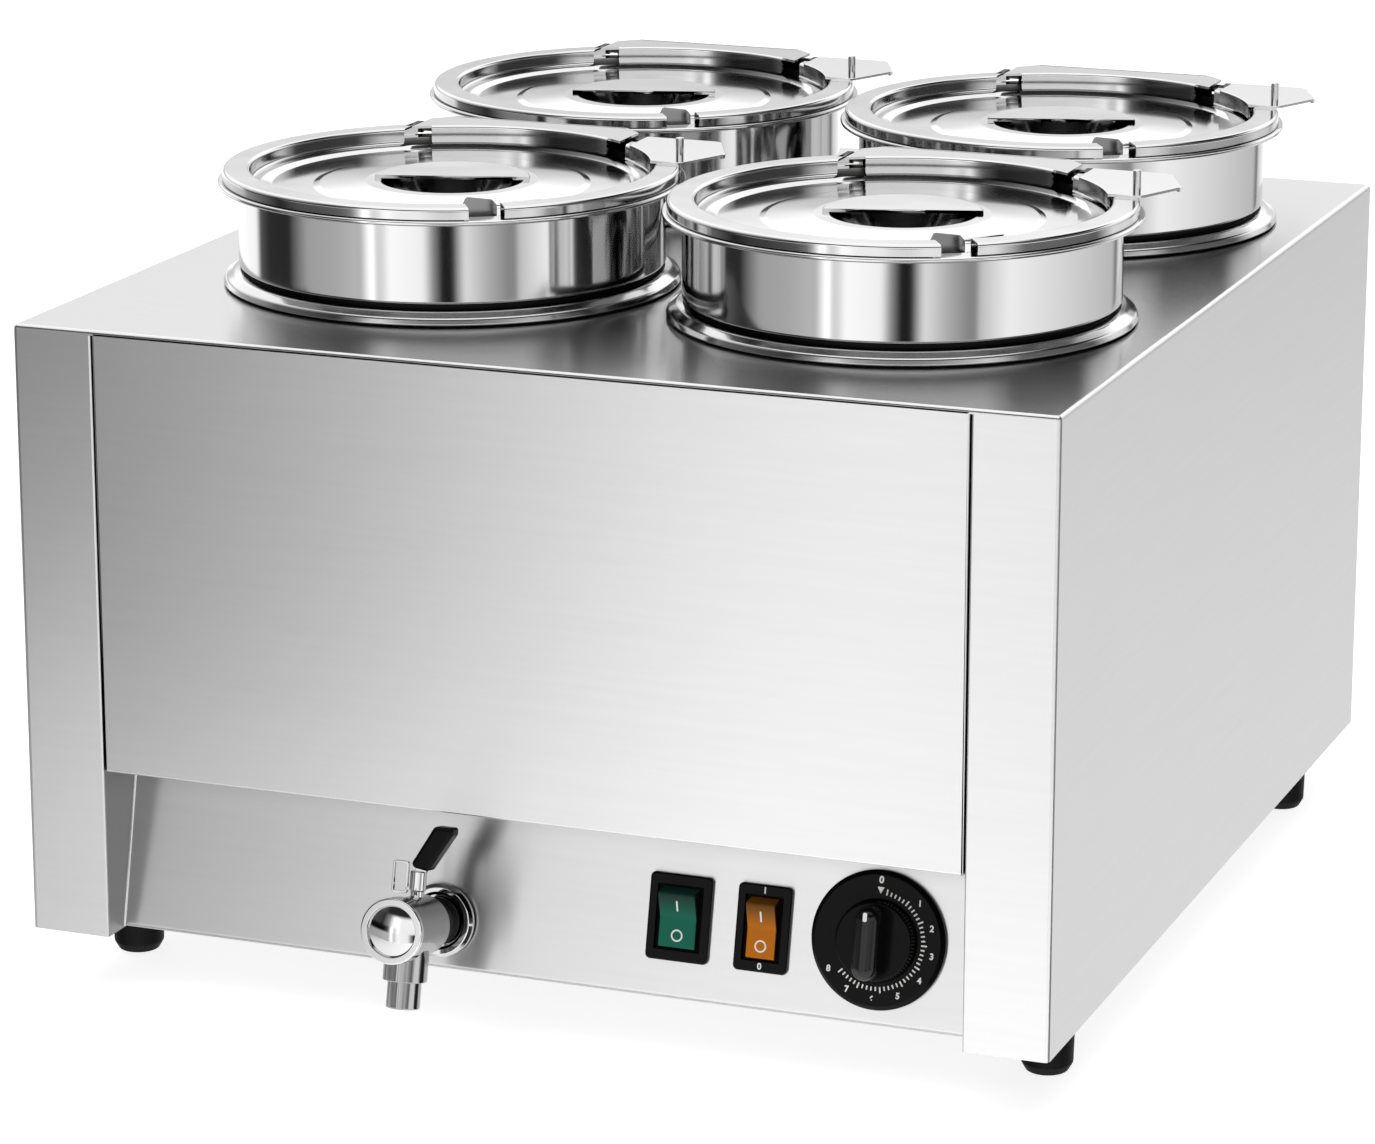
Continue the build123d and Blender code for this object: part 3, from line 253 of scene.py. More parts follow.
class Surface:
    """One mesh grown from patches with exact normals; new patches take the present coat."""

    def __init__(self) -> None:
        """Start with no patches and the first coat."""
        self._points: list[np.ndarray] = []
        self._normals: list[np.ndarray] = []
        self._faces: list[list[int]] = []
        self._coats: list[int] = []
        self._size = 0
        self.coat = 0

    def _take(self, points: np.ndarray, normals: np.ndarray, faces: np.ndarray) -> None:
        """Add a patch, with its faces turned the way its normals point.

        Args:
            points: (n, 3) places.
            normals: (n, 3) normals of any length.
            faces: (m, 3) or (m, 4) rows of the patch's own points.
        """
        a, b, c = points[faces[:, 0]], points[faces[:, 1]], points[faces[:, 2]]
        d = points[faces[:, -1]]
        across = np.cross(c - a, d - b) if faces.shape[1] == 4 else np.cross(b - a, c - a)
        whole = np.linalg.norm(across, axis=1) > 1e-7
        faces, across = faces[whole], across[whole]
        if not len(faces):
            return
        if np.sum(across * normals[faces[:, 0]]) < 0:
            faces = faces[:, ::-1]
        length = np.maximum(np.linalg.norm(normals, axis=1), 1e-9)
        self._points.append(points)
        self._normals.append(normals / length[:, None])
        self._faces.extend((faces + self._size).tolist())
        self._coats.extend([self.coat] * len(faces))
        self._size += len(points)

    def grid(self, points: np.ndarray, normals: np.ndarray, wrap_u: bool = False, wrap_v: bool = False) -> None:
        """Add a grid of quads.

        Args:
            points: (n, m, 3) places.
            normals: Normals, broadcast to the same shape.
            wrap_u: Join the last row to the first.
            wrap_v: Join the last column to the first.
        """
        n, m = points.shape[:2]
        i, j = np.meshgrid(np.arange(n - (not wrap_u)), np.arange(m - (not wrap_v)), indexing="ij")
        i1, j1 = (i + 1) % n, (j + 1) % m
        quads = np.stack([i * m + j, i1 * m + j, i1 * m + j1, i * m + j1], -1).reshape(-1, 4)
        self._take(points.reshape(-1, 3), np.broadcast_to(normals, points.shape).reshape(-1, 3), quads)

    def fill(self, loops: Sequence[np.ndarray], normal: np.ndarray) -> None:
        """Add a flat face inside the first loop and outside the others.

        Args:
            loops: (n, 3) places along each closed loop.
            normal: Normal of the face.
        """
        faces = np.array(tessellate_polygon([loop.tolist() for loop in loops]))
        points = np.concatenate(loops)
        self._take(points, np.broadcast_to(normal, points.shape), faces)

    def lathe(self, place: Place, runs: Sequence[Run], count: int = TURN, span: Point | None = None) -> None:
        """Turn a profile of (radius, height) about the place's z.

        Args:
            place: Its axes.
            runs: The profile.
            count: Strips round the turn.
            span: First and last angle in degrees, or None for all round.
        """
        low, high = span or (0.0, 360.0)
        angle = np.radians(np.linspace(low, high, count + bool(span), endpoint=bool(span)))[:, None]
        for run in runs:
            points, normals = swept(angle, run.points), swept(angle, run.normals)
            self.grid(place.points(points), place.vectors(normals), not span, run.closed)

    def sheet(self, points: np.ndarray, normals: np.ndarray, thickness: float) -> None:
        """Add a sheet: its face, its back and the strips round its edges.

        Args:
            points: (n, m, 3) places on its face.
            normals: Normals of the same shape.
            thickness: Distance from its face to its back.
        """
        back = points - normals * thickness
        self.grid(points, normals)
        self.grid(back, -normals)
        borders = (
            (points[0], back[0], points[1]),
            (points[-1], back[-1], points[-2]),
            (points[:, 0], back[:, 0], points[:, 1]),
            (points[:, -1], back[:, -1], points[:, -2]),
        )
        for edge, behind, inside in borders:
            outward = np.cross(np.gradient(edge, axis=0), behind - edge)
            sign = np.sign(np.sum(outward * (edge - inside), axis=1, keepdims=True))
            self.grid(np.stack([edge, behind]), outward * np.where(sign == 0, 1, sign))

    def folded(self, place: Place, runs: Sequence[Run], thickness: float, low: float, high: float) -> None:
        """Draw a folded profile along the place's z as a sheet.

        Args:
            place: Its axes; the profile lies across x and y.
            runs: The profile.
            thickness: Thickness of the sheet.
            low: Where it starts along z.
            high: Where it ends.
        """
        for run in runs:
            points, normals = layers(run.points, (low, high)), layers(run.normals, (0.0, 0.0))
            self.sheet(place.points(points), place.vectors(normals), thickness)

    def plate(
        self,
        place: Place,
        outline: Run,
        low: float,
        high: float,
        edge: float,
        holes: Sequence[Run] = (),
        foot: float = 0.0,
        steps: int = 4,
        rim: int = 0,
        border: int = 0,
    ) -> None:
        """Add a flat slab with a rounded top edge.

        Args:
            place: Its axes; the slab lies across x and y.
            outline: Closed outline with outward normals.
            low: Level of its underside.
            high: Level of its top.
            edge: Radius of the top edge.
            holes: Closed outlines cut right through.
            foot: Radius of the lower edge.
            steps: Strips on each rounded edge.
            rim: Coat of the walls of its holes.
            border: Coat of its outer edge.
        """
        sine, cosine = quarter(steps)
        moves = -np.concatenate([edge * (1 - sine), foot * (1 - sine[::-1])])
        level = np.concatenate([high - edge * (1 - cosine), low + foot * (1 - cosine[::-1])])
        across, up = np.concatenate([sine, sine[::-1]]), np.concatenate([cosine, -cosine[::-1]])
        points = rings(outline.points, outline.normals, moves, level)
        own = self.coat
        self.coat = border or own
        lean = rings(0 * outline.points, outline.normals, across, up)
        self.grid(place.points(points), place.vectors(lean), wrap_v=True)
        self.coat = own
        for z, row, way in ((high, points[0], 1.0), (low, points[-1], -1.0)):
            loops = [row] + [raised(hole.points, z) for hole in holes]
            self.fill([place.points(loop) for loop in loops], place.vectors(np.array([0, 0, way])))
        self.coat = rim or own
        for hole in holes:
            walls = place.points(layers(hole.points, (low, high)))
            self.grid(walls, place.vectors(raised(-hole.normals)), wrap_v=True)
        self.coat = own

    def text(self, place: Place, words: str, height: float, weight: float = 0.0) -> None:
        """Add flat figures, centred on the place.

        Args:
            place: Their axes; they read along x.
            words: The figures.
            height: Height of a figure.
            weight: Thickness added to its strokes.
        """
        curve = bpy.data.curves.new("figures", "FONT")
        curve.body, curve.size, curve.offset = words, height * 1.4, weight
        curve.align_x, curve.align_y = "CENTER", "CENTER"
        shape = bpy.data.objects.new("figures", curve)
        mesh = bpy.data.meshes.new_from_object(shape)
        flat = np.empty(len(mesh.vertices) * 3)
        mesh.vertices.foreach_get("co", flat)
        mesh.calc_loop_triangles()
        faces = np.empty(len(mesh.loop_triangles) * 3, int)
        mesh.loop_triangles.foreach_get("vertices", faces)
        points = place.points(flat.reshape(-1, 3))
        self._take(points, np.broadcast_to(np.array(place.z), points.shape), faces.reshape(-1, 3))
        bpy.data.objects.remove(shape)
        bpy.data.curves.remove(curve)
        bpy.data.meshes.remove(mesh)

    def finish(
        self, name: str, coats: Sequence[Material], body: str, stands_for: Sequence[str] = ()
    ) -> None:
        """Make the mesh an object that rides on a CAD body.

        Args:
            name: Name of the piece.
            coats: A material for each coat.
            body: The CAD body it moves with.
            stands_for: CAD nodes that it replaces.
        """
        mesh = bpy.data.meshes.new(name)
        mesh.from_pydata((np.concatenate(self._points) * MM).tolist(), [], self._faces)
        mesh.shade_smooth()
        mesh.normals_split_custom_set_from_vertices(np.concatenate(self._normals).tolist())
        for coat in coats:
            mesh.materials.append(coat)
        mesh.polygons.foreach_set("material_index", self._coats)
        piece = bpy.data.objects.new(name, mesh)
        bpy.context.scene.collection.objects.link(piece)
        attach(piece, body)
        if stands_for:
            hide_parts(*stands_for)
        log.info("%s on %s: %d faces", name, body, len(self._faces))


def linear(code: str) -> Colour:
    """Scene-linear colour of an sRGB hex code such as "#c8c8c8"."""
    values = np.array([int(code[i : i + 2], 16) for i in (1, 3, 5)]) / 255.0
    values = np.where(values <= 0.04045, values / 12.92, ((values + 0.055) / 1.055) ** 2.4)
    return (*values.tolist(), 1.0)


def grey(level: float, share: float = 1.0) -> Colour:
    """Scene-linear grey for a displayed level, where 1 is white and more is brighter than white."""
    value = share * level**2.2
    return (value, value, value, 1.0)


class Nodes:
    """A node tree with a short way to add nodes."""

    def __init__(self, tree: bpy.types.NodeTree) -> None:
        """Start with an empty tree."""
        self.tree = tree
        tree.nodes.clear()

    def add(self, kind: str, settings: dict[str, Any] | None = None, **inputs: Any) -> bpy.types.Node:
        """Add a node.

        Args:
            kind: Node type without its "ShaderNode" prefix.
            settings: Properties of the node.
            inputs: Values or output sockets by socket name, with "_" for spaces; "i0" is the first socket.

        Returns:
            The new node.
        """
        node = self.tree.nodes.new("ShaderNode" + kind)
        for name, value in (settings or {}).items():
            setattr(node, name, value)
        for name, value in inputs.items():
            key = int(name[1:]) if name[0] == "i" and name[1:].isdigit() else name.replace("_", " ")
            if isinstance(value, Socket):
                self.tree.links.new(value, node.inputs[key])
            else:
                node.inputs[key].default_value = value
        return node

    def math(self, operation: str, *values: Any) -> Socket:
        """Add a calculation and return its result."""
        inputs = {f"i{index}": value for index, value in enumerate(values)}
        return self.add("Math", {"operation": operation}, **inputs).outputs[0]

    def spread(self, value: Socket, old: Point, new: Point = (0.0, 1.0), ease: str = "LINEAR") -> Socket:
        """Map an old range to a new one and return the result."""
        ends = dict(zip(("i1", "i2", "i3", "i4"), (*old, *new)))
        return self.add("MapRange", {"interpolation_type": ease}, i0=value, **ends).outputs[0]

    def mix(self, share: Any, under: Any, over: Any, blend: str = "MIX") -> Socket:
        """Mix two colours and return the result."""
        kind = {"data_type": "RGBA", "blend_type": blend}
        return self.add("Mix", kind, i0=share, i6=under, i7=over).outputs[2]

    def ramp(self, value: Socket, stops: Sequence[tuple[float, Colour]]) -> Socket:
        """Add a colour ramp.

        Args:
            value: What is looked up.
            stops: Places from 0 to 1 and their colours.

        Returns:
            Its colour socket.
        """
        node = self.add("ValToRGB", i0=value)
        elements = node.color_ramp.elements
        for place, _ in stops[1:-1]:
            elements.new(place)
        for element, (place, colour) in zip(elements, stops):
            element.position, element.color = place, colour
        return node.outputs[0]

    def shade(self, **inputs: Any) -> bpy.types.Node:
        """Add the material's main shader and join it to its output."""
        shader = self.add("BsdfPrincipled", **inputs)
        self.add("OutputMaterial", Surface=shader.outputs[0])
        return shader


def material_nodes(name: str) -> tuple[Material, Nodes]:
    """A new material and its empty node tree."""
    material = bpy.data.materials.new(name)
    material.use_nodes = True
    return material, Nodes(material.node_tree)


@dataclass(frozen=True)
class BrushedSteel:
    """Brushed stainless sheet with fine lines, their sizes in millimetres."""

    name: str
    colour: str
    roughness: float
    grain: Grain
    anisotropy: float = 0.6
    line_width: float = 0.4
    line_length: float = 28.0
    contrast: float = 0.022
    unevenness: float = 0.04

    def make(self) -> Material:
        """Build the material and return it."""
        material, nodes = material_nodes(self.name)
        place = nodes.add("TexCoord").outputs["Object"]

        def noise(width: float, length: float, **detail: float) -> Socket:
            """Draw noise out into lines.

            Args:
                width: Width of a line.
                length: Its length.
                detail: Settings of the noise.

            Returns:
                The noise.
            """
            across, along = 1000 / width, 1000 / length
            scale = (along, along, across) if self.grain is Grain.LEVEL else (along, across, along)
            drawn = nodes.add("Mapping", Vector=place, Scale=scale).outputs[0]
            return nodes.add("TexNoise", Vector=drawn, Scale=1.0, **detail).outputs[0]

        lines = noise(self.line_width, self.line_length, Detail=2.0, Roughness=0.6)
        drift = noise(9 * self.line_width, 3 * self.line_length, Detail=1.0)
        both = nodes.math("ADD", lines, drift)
        tone = nodes.spread(both, (0.6, 1.4), (1 - self.contrast, 1 + self.contrast))
        ends = (self.roughness * (1 - self.unevenness), self.roughness * (1 + self.unevenness))
        facing = nodes.add("NewGeometry").outputs["Normal"]
        tangent = nodes.add("VectorMath", {"operation": "CROSS_PRODUCT"}, i0=facing, i1=self.grain.value)
        nodes.shade(
            Base_Color=nodes.mix(1.0, linear(self.colour), tone, "MULTIPLY"),
            Metallic=1.0,
            Roughness=nodes.spread(lines, (0.3, 0.7), ends),
            Anisotropic=self.anisotropy,
            Anisotropic_Rotation=0.25,
            Tangent=tangent.outputs[0],
        )
        return material


@dataclass(frozen=True)
class PolishedSteel:
    """Polished or plated metal, slightly wavy if it has a wave in millimetres."""

    name: str
    colour: str
    roughness: float
    wave: float = 0.0
    wave_size: float = 25.0

    def make(self) -> Material:
        """Build the material and return it."""
        material, nodes = material_nodes(self.name)
        shader = nodes.shade(Base_Color=linear(self.colour), Metallic=1.0, Roughness=self.roughness)
        if self.wave:
            place = nodes.add("TexCoord").outputs["Object"]
            noise = nodes.add("TexNoise", Vector=place, Scale=1000 / self.wave_size, Detail=1.0)
            bump = nodes.add("Bump", Strength=1.0, Distance=self.wave * MM, Height=noise.outputs[0])
            nodes.tree.links.new(bump.outputs[0], shader.inputs["Normal"])
        return material


@dataclass(frozen=True)
class Moulding:
    """Plastic, rubber or print with a little unevenness."""

    name: str
    colour: str
    roughness: float
    shine: float = 0.5
    speck: float = 0.15
    speck_size: float = 0.8

    def make(self) -> Material:
        """Build the material and return it."""
        material, nodes = material_nodes(self.name)
        place = nodes.add("TexCoord").outputs["Object"]
        noise = nodes.add("TexNoise", Vector=place, Scale=1000 / self.speck_size, Detail=2.0).outputs[0]
        ends = (self.roughness * (1 - self.speck), self.roughness * (1 + self.speck))
        rough = nodes.spread(noise, (0.3, 0.7), ends)
        nodes.shade(Base_Color=linear(self.colour), Roughness=rough, Specular_IOR_Level=self.shine)
        return material


@dataclass(frozen=True)
class Lens:
    """Rocker plastic in its own colour, with painted shade that darkens its top and its flanks; heights are in
    millimetres.
    """

    name: str
    # top and flank are darker colours painted as shade over the bottom colour
    top: str
    bottom: str
    flank_shade: str
    low: float = 57.0
    high: float = 80.0
    roughness: float = 0.14
    shine: float = 0.08

    def make(self) -> Material:
        """Build the material and return it."""
        material, nodes = material_nodes(self.name)
        place = nodes.add("SeparateXYZ", Vector=nodes.add("TexCoord").outputs["Object"])
        height = nodes.spread(place.outputs[2], (self.low * MM, self.high * MM))
        top, bottom = linear(self.top), linear(self.bottom)
        # painted shade: the darker top colour takes over in the upper part of the height range
        face = nodes.ramp(height, [(0.0, bottom), (0.55, bottom), (1.0, top)])
        # painted shade on the flanks, stronger the more the normal turns sideways
        facing = nodes.add("SeparateXYZ", Vector=nodes.add("NewGeometry").outputs["Normal"])
        flank_shade_share = nodes.spread(nodes.math("ABSOLUTE", facing.outputs[0]), (0.3, 0.8))
        colour_with_shade = nodes.mix(flank_shade_share, face, linear(self.flank_shade))
        nodes.shade(Base_Color=colour_with_shade, Roughness=self.roughness, Specular_IOR_Level=self.shine)
        return material


class Finishes:
    """All materials of the part."""

    def __init__(self) -> None:
        """Make each material once."""
        self.sheet = BrushedSteel("brushed_stainless_upright", "#c5c5c5", 0.30, Grain.LEVEL, 0.90).make()
        self.deck = BrushedSteel("brushed_stainless_deck", "#b2b2b2", 0.21, Grain.ALONG_X, 0.86).make()
        self.bend = PolishedSteel("stainless_bend", "#c3c3c3", 0.22).make()
        # the posts' inner returns: the same sheet painted darker as shade
        self.fold = BrushedSteel("shaded_stainless_return", "#8d8d8d", 0.34, Grain.LEVEL).make()
        self.inner = BrushedSteel("mill_stainless", "#8d8d8d", 0.40, Grain.LEVEL, 0.2).make()
        self.collar = PolishedSteel("polished_stainless_collar", "#c0c0c0", 0.12).make()
        self.pot = PolishedSteel("mirror_stainless_pot", "#c6c6c6", 0.09, 0.02).make()
        self.lid = PolishedSteel("mirror_stainless_lid", "#c1c1c1", 0.10, 0.16, 45.0).make()
        self.lug = PolishedSteel("satin_stainless_lug", "#c8c8c8", 0.16).make()
        # the notch leaf is the lid's own steel, painted a darker grey as shade
        self.leaf = PolishedSteel("stainless_notch_leaf", "#8f8f8f", 0.16).make()
        self.satin = PolishedSteel("satin_stainless_body", "#aeaeae", 0.28).make()
        # near-black steel painted as shade: collar necks, saddle blocks, lid ears and the tap barrel near the
        # panel take it
        self.painted_dark = PolishedSteel("stainless_painted_dark_as_shade", "#252525", 0.50).make()
        self.nickel = PolishedSteel("polished_nickel_plate", "#8f8f8f", 0.07).make()
        self.chrome = PolishedSteel("bright_chrome", "#c2c2c2", 0.05).make()
        self.plain = PolishedSteel("plain_steel", "#949494", 0.35).make()
        self.hot = PolishedSteel("heat_dulled_steel", "#66615c", 0.45).make()
        self.brass = PolishedSteel("plain_brass", "#a9894b", 0.30).make()
        self.copper = PolishedSteel("copper_tube", "#a16644", 0.30).make()
        self.black = Moulding("gloss_black_plastic", "#070707", 0.22, shine=0.075).make()
        self.knob = Moulding("bright_black_plastic", "#070707", 0.20, shine=0.306).make()
        self.matt = Moulding("matt_black_plastic", "#0a0a0a", 0.60, shine=0.034).make()
        self.rubber = Moulding("black_rubber", "#0c0c0c", 0.60, shine=0.136).make()
        self.cream = Moulding("cream_plastic", "#b6b1a1", 0.50).make()
        # each lens: its bottom colour is the plastic's own, its top and flank colours are painted shade
        self.green = Lens("green_lens_plastic_with_painted_shade", "#122d26", "#095845", "#051310").make()
        self.amber = Lens("amber_lens_plastic_with_painted_shade", "#5c3a0d", "#a85f06", "#1d0c02").make()
        self.print = Moulding("white_print", "#cececa", 0.45).make()


@dataclass(frozen=True)
class CasingSizes:
    """Casing, deck, panels and feet, in millimetres; profiles are (radius, height)."""

    width: float = 515.0
    depth: float = 565.0
    front: float = -269.209
    base: float = 30.0
    deck: float = 330.0
    sheet: float = 1.2
    bend: float = 2.4
    crisp: float = 1.0
    deck_edge: float = 2.2
    lip: float = 2.3
    post_width: float = 41.0
    post_depth: float = 46.0
    rear_flange: float = 24.0
    groove: float = 0.8
    twist: float = 0.046
    flange: float = 12.0
    recess: float = 84.0
    recess_top: float = 35.0
    recess_bottom: float = 16.0
    panel_gap: float = 0.5
    well: float = 100.1
    pitch_x: float = 231.6
    pitch_y: float = 254.3
    grid_x: float = 11.4
    grid_y: float = 294.8
    ring: Path = ((111.2, 0.9), (112.0, 1.7), (110.9, 4.4), (106.8, 6.9), (103.4, 7.5), (103.4, 6.2))
    neck: Path = (
        (103.4, 6.2), (100.0, 6.2), (100.0, 9.2), (98.6, 9.2),
        (98.6, -4.0), (100.0, -4.0), (100.0, 2.4), (111.2, 0.9),
    )
    foot_x: float = 21.5
    foot_y: float = 69.0
    foot: Path = ((5.6, 0), (9.8, 0), (12.3, 4.4), (13.0, 31.2), (2.6, 31.2), (2.6, 14), (5.6, 14))

    @property
    def back(self) -> float:
        """Rear face of the casing."""
        return self.front + self.depth

    @property
    def tilt(self) -> float:
        """Lean of the control panel, in radians."""
        return math.atan2(self.recess_top - self.recess_bottom, self.recess)

    @property
    def panel(self) -> Place:
        """Axes of the control panel: y up its slope, z out of its face."""
        s, c = math.sin(self.tilt), math.cos(self.tilt)
        foot = (0.0, self.front + self.recess_bottom, self.base)
        return Place(foot, (1.0, 0.0, 0.0), (0.0, s, c), (0.0, -c, s))

    def well_centre(self, corner: Corner) -> Point:
        """Find one well on the deck.

        Args:
            corner: Which well.

        Returns:
            Its plan place.
        """
        row, column = corner.value.split("_")
        x = self.grid_x + (self.pitch_x / 2 if column == "right" else -self.pitch_x / 2)
        y = self.front + self.grid_y + (self.pitch_y / 2 if row == "rear" else -self.pitch_y / 2)
        return x, y


@dataclass(frozen=True)
class Casing:
    """Folded sheet work, collars and feet."""

    sizes: CasingSizes
    finishes: Finishes

    def build(self) -> None:
        """Make every piece of the casing."""
        self._side("left", -1)
        self._side("right", 1)
        self._front_panel()
        self._control_panel()
        self._deck()
        self._collars()
        self._feet()

    def _side(self, name: str, way: int) -> None:
        """Make a side panel, folded round its front post.

        Args:
            name: Which side.
            way: -1 for the left and 1 for the right.
        """
        s = self.sizes
        inner, half, span = s.width / 2 - s.post_width, s.width / 2, (s.base, s.deck - s.lip)
        path = [
            (way * inner, s.front + s.post_depth),
            (way * inner, s.front),
            (way * half, s.front),
            (way * half, s.back),
            (way * (half - s.rear_flange), s.back),
        ]
        run = rounded(path, (s.crisp, s.bend, s.bend), side=-way)[0]
        lean = layers(run.normals[1:], (0.0, 0.0))
        if way < 0:  # the left post's sheet is a little twisted at its foot
            lean[0, :, 0] += s.twist * lean[0, :, 1] ** 2
        surface = Surface()
        surface.sheet(layers(run.points[1:], span), lean, s.sheet)
        # the return along the post takes the darker steel as painted shade
        surface.coat = 1
        surface.folded(Place(), [run.part(slice(2))], s.sheet, *span)
        coats = [self.finishes.sheet, self.finishes.fold]
        surface.finish(f"side_{name}", coats, "casing", [f"{name}_side_panel"])

    def _front_panel(self) -> None:
        """Make the front panel with its lower flange."""
        s = self.sizes
        half = s.width / 2 - s.post_width - s.groove
        low, high = s.base + s.recess, s.deck - s.deck_edge + s.crisp
        face = Place((0, s.front + s.sheet, (low + high) / 2)).facing("x", "z", "-y")
        surface = Surface()
        surface.plate(face, box_outline(2 * half, high - low, 0.3), 0.0, s.sheet, s.crisp, border=1)
        path = [(s.front + s.sheet / 2, low), (s.front + s.recess_top + s.flange, low)]
        surface.folded(Place().facing("y", "z", "x"), rounded(path, 0.0, side=-1), s.sheet, -half, half)
        coats = [self.finishes.sheet, self.finishes.bend]
        surface.finish("front_sheet", coats, "casing", ["front_panel"])

    def _control_panel(self) -> None:
        """Make the sloping panel, with rounded inner corners along the posts."""
        s = self.sizes
        half, high = s.width / 2 - s.post_width, s.base + s.recess
        path = [
            (s.front + s.recess_bottom + s.flange, s.base),
            (s.front + s.recess_bottom, s.base),
            (s.front + s.recess_top, high),
            (s.front + s.recess_top + s.flange, high),
        ]
        surface = Surface()
        surface.folded(Place().facing("y", "z", "x"), rounded(path, s.bend, side=1), s.sheet, -half, half)
        surface.coat = 1
        sine, cosine = (values[:, None] for values in quarter())
        along = np.array([[s.panel_gap, s.recess / math.cos(s.tilt) - s.panel_gap]])
        for way in (-1, 1):
            x, z = way * (half - s.crisp * (1 - sine)), s.crisp * (1 - cosine)
            points = np.stack(np.broadcast_arrays(x, along, z), -1)
            lean = np.stack(np.broadcast_arrays(-way * sine, 0 * along, cosine), -1)
            surface.grid(s.panel.points(points), s.panel.vectors(lean))
        coats = [self.finishes.sheet, self.finishes.bend]
        surface.finish("control_sheet", coats, "casing", ["control_panel"])

    def _deck(self) -> None:
        """Make the deck with its wells and its turned-down edge."""
        s = self.sizes
        low = s.deck - s.sheet
        middle = Place((0, s.front + s.depth / 2, 0))
        centres = [s.well_centre(corner) for corner in Corner]
        holes = [circle(s.well, 96, (x, y - middle.origin[1])) for x, y in centres]
        outer = box_outline(s.width, s.depth, s.bend)
        sine, cosine = quarter()
        moves = np.append(-s.deck_edge * (1 - sine), 0.0)
        level = np.append(s.deck - s.deck_edge * (1 - cosine), s.deck - s.lip)
        rows = middle.points(rings(outer.points, outer.normals, moves, level))
        lean = rings(0 * outer.points, outer.normals, np.append(sine, 1.0), np.append(cosine, 0.0))
        inner = middle.points(rings(outer.points, outer.normals, (-s.sheet, -s.sheet), (s.deck - s.lip, low)))
        surface = Surface()
        for coat, part in ((1, slice(0, 7)), (2, slice(6, None))):
            surface.coat = coat
            surface.grid(rows[part], lean[part], wrap_v=True)
        surface.coat = 0
        surface.grid(inner, raised(-outer.normals), wrap_v=True)
        surface.fill([rows[-1], inner[0]], np.array([0, 0, -1.0]))
        for z, border, way in ((s.deck, rows[0], 1.0), (low, inner[1], -1.0)):
            loops = [middle.points(raised(hole.points, z)) for hole in holes]
            surface.fill([border, *loops], np.array([0, 0, way]))
        for hole in holes:
            walls = middle.points(layers(hole.points, (low, s.deck)))
            surface.grid(walls, raised(-hole.normals), wrap_v=True)
        coats = [self.finishes.deck, self.finishes.bend, self.finishes.sheet]
        surface.finish("deck_sheet", coats, "casing", ["top_deck"])

    def _collars(self) -> None:
        """Make the raised collars round the wells."""
        s = self.sizes
        face = rounded(s.ring, (0.5, 2.4, 5.0, 0.5), side=-1)
        neck = rounded(s.neck, (0.2, 0.4, 0.4, 0.2, 0.2, 0.2), side=-1)
        surface = Surface()
        for corner in Corner:
            place = Place((*s.well_centre(corner), s.deck))
            # the neck takes the near-black steel, painted shade in the gap under the pot
            for coat, runs in enumerate((face, neck)):
                surface.coat = coat
                surface.lathe(place, runs)
        coats = [self.finishes.collar, self.finishes.painted_dark]
        surface.finish("collars", coats, "casing", ["well_collars"])

    def _feet(self) -> None:
        """Make the four feet."""
        s = self.sizes
        runs = rounded(s.foot, (0.4, 1.6, 2.4, 0.4, 0, 0, 0.4), closed=True)
        surface = Surface()
        for x in (s.foot_x - s.width / 2, s.width / 2 - s.foot_x):
            for y in (s.front + s.foot_y, s.back - s.foot_y):
                surface.lathe(Place((x, y, 0)), runs, 64)
        surface.finish("feet", [self.finishes.rubber], "casing", ["rubber_feet"])


@dataclass(frozen=True)
class PotSizes:
    """One pot, its hinge and its lid, in millimetres above the deck and degrees."""

    radius: float = 97.0
    wall: float = 1.0
    depth: float = 120.0
    band: float = 104.3
    seat: float = 9.5
    foot: float = 1.6
    rim: float = 51.4
    rim_out: float = 114.0
    rim_drop: float = 2.4
    band_lean: float = 5.0
    lid: float = 111.5
    lid_top: float = 57.0
    skirt: float = 51.7
    step: float = 98.0
    ledge: float = 93.0
    ledge_z: float = 49.5
    pan: float = 88.0
    pan_z: float = 47.7
    crease: float = 66.0
    crease_z: float = 48.1
    cup_seat: float = 42.0
    cup_rim: float = 34.5
    cup_rim_z: float = 49.5
    cup_floor: float = 24.0
    cup_floor_z: float = 31.5
    notch: float = -58.0
    notch_half: float = 8.5
    notch_lip: float = 57.8
    notch_lean: float = 6.4
    slit: float = 22.0
    slit_half: float = 3.5
    slit_reach: float = 107.0
    slit_floor: float = 52.0
    gap_half: float = 60.0
    rib: float = 64.0
    rib_half: float = 2.2
    rib_rise: float = 1.3
    rib_span: Point = (-49.0, -24.0)
    grip: float = 38.0
    grip_turn: float = 17.0
    grip_sheet: float = 1.6
    hinge_y: float = 101.0
    hinge_z: float = 54.0
    ear: Path = ((-15, 2), (-2.9, 2), (-2.9, -2.9), (2.9, -2.9), (2.9, 3), (-15, 3))
    ear_width: float = 3.0
    ear_bore: float = 2.05
    sheet: float = 1.2
    plate_z: float = 58.2
    saddle_half: float = 56.5
    saddle_wall_half: float = 47.5
    saddle_front: float = 96.0
    saddle_rear: float = 114.0
    saddle_foot: float = 46.2
    saddle_corner: float = 5.0
    saddle_cut: float = 10.0
    saddle_lip: float = 5.0
    fold: float = 1.4
    block: Point = (106.6, 110.6)
    block_span: Point = (61.0, 119.0)
    lug: Path = ((105.0, 36.5), (117.5, 66.0), (104.0, 96.0), (64.5, 96.0))
    lug_round: float = 6.0
    lug_radius: float = 96.5
    lug_clear: float = 112.8
    lug_drop: float = 0.9
    peg: Point = (100.0, 49.0)
    peg_radius: float = 2.0
    peg_height: float = 10.0


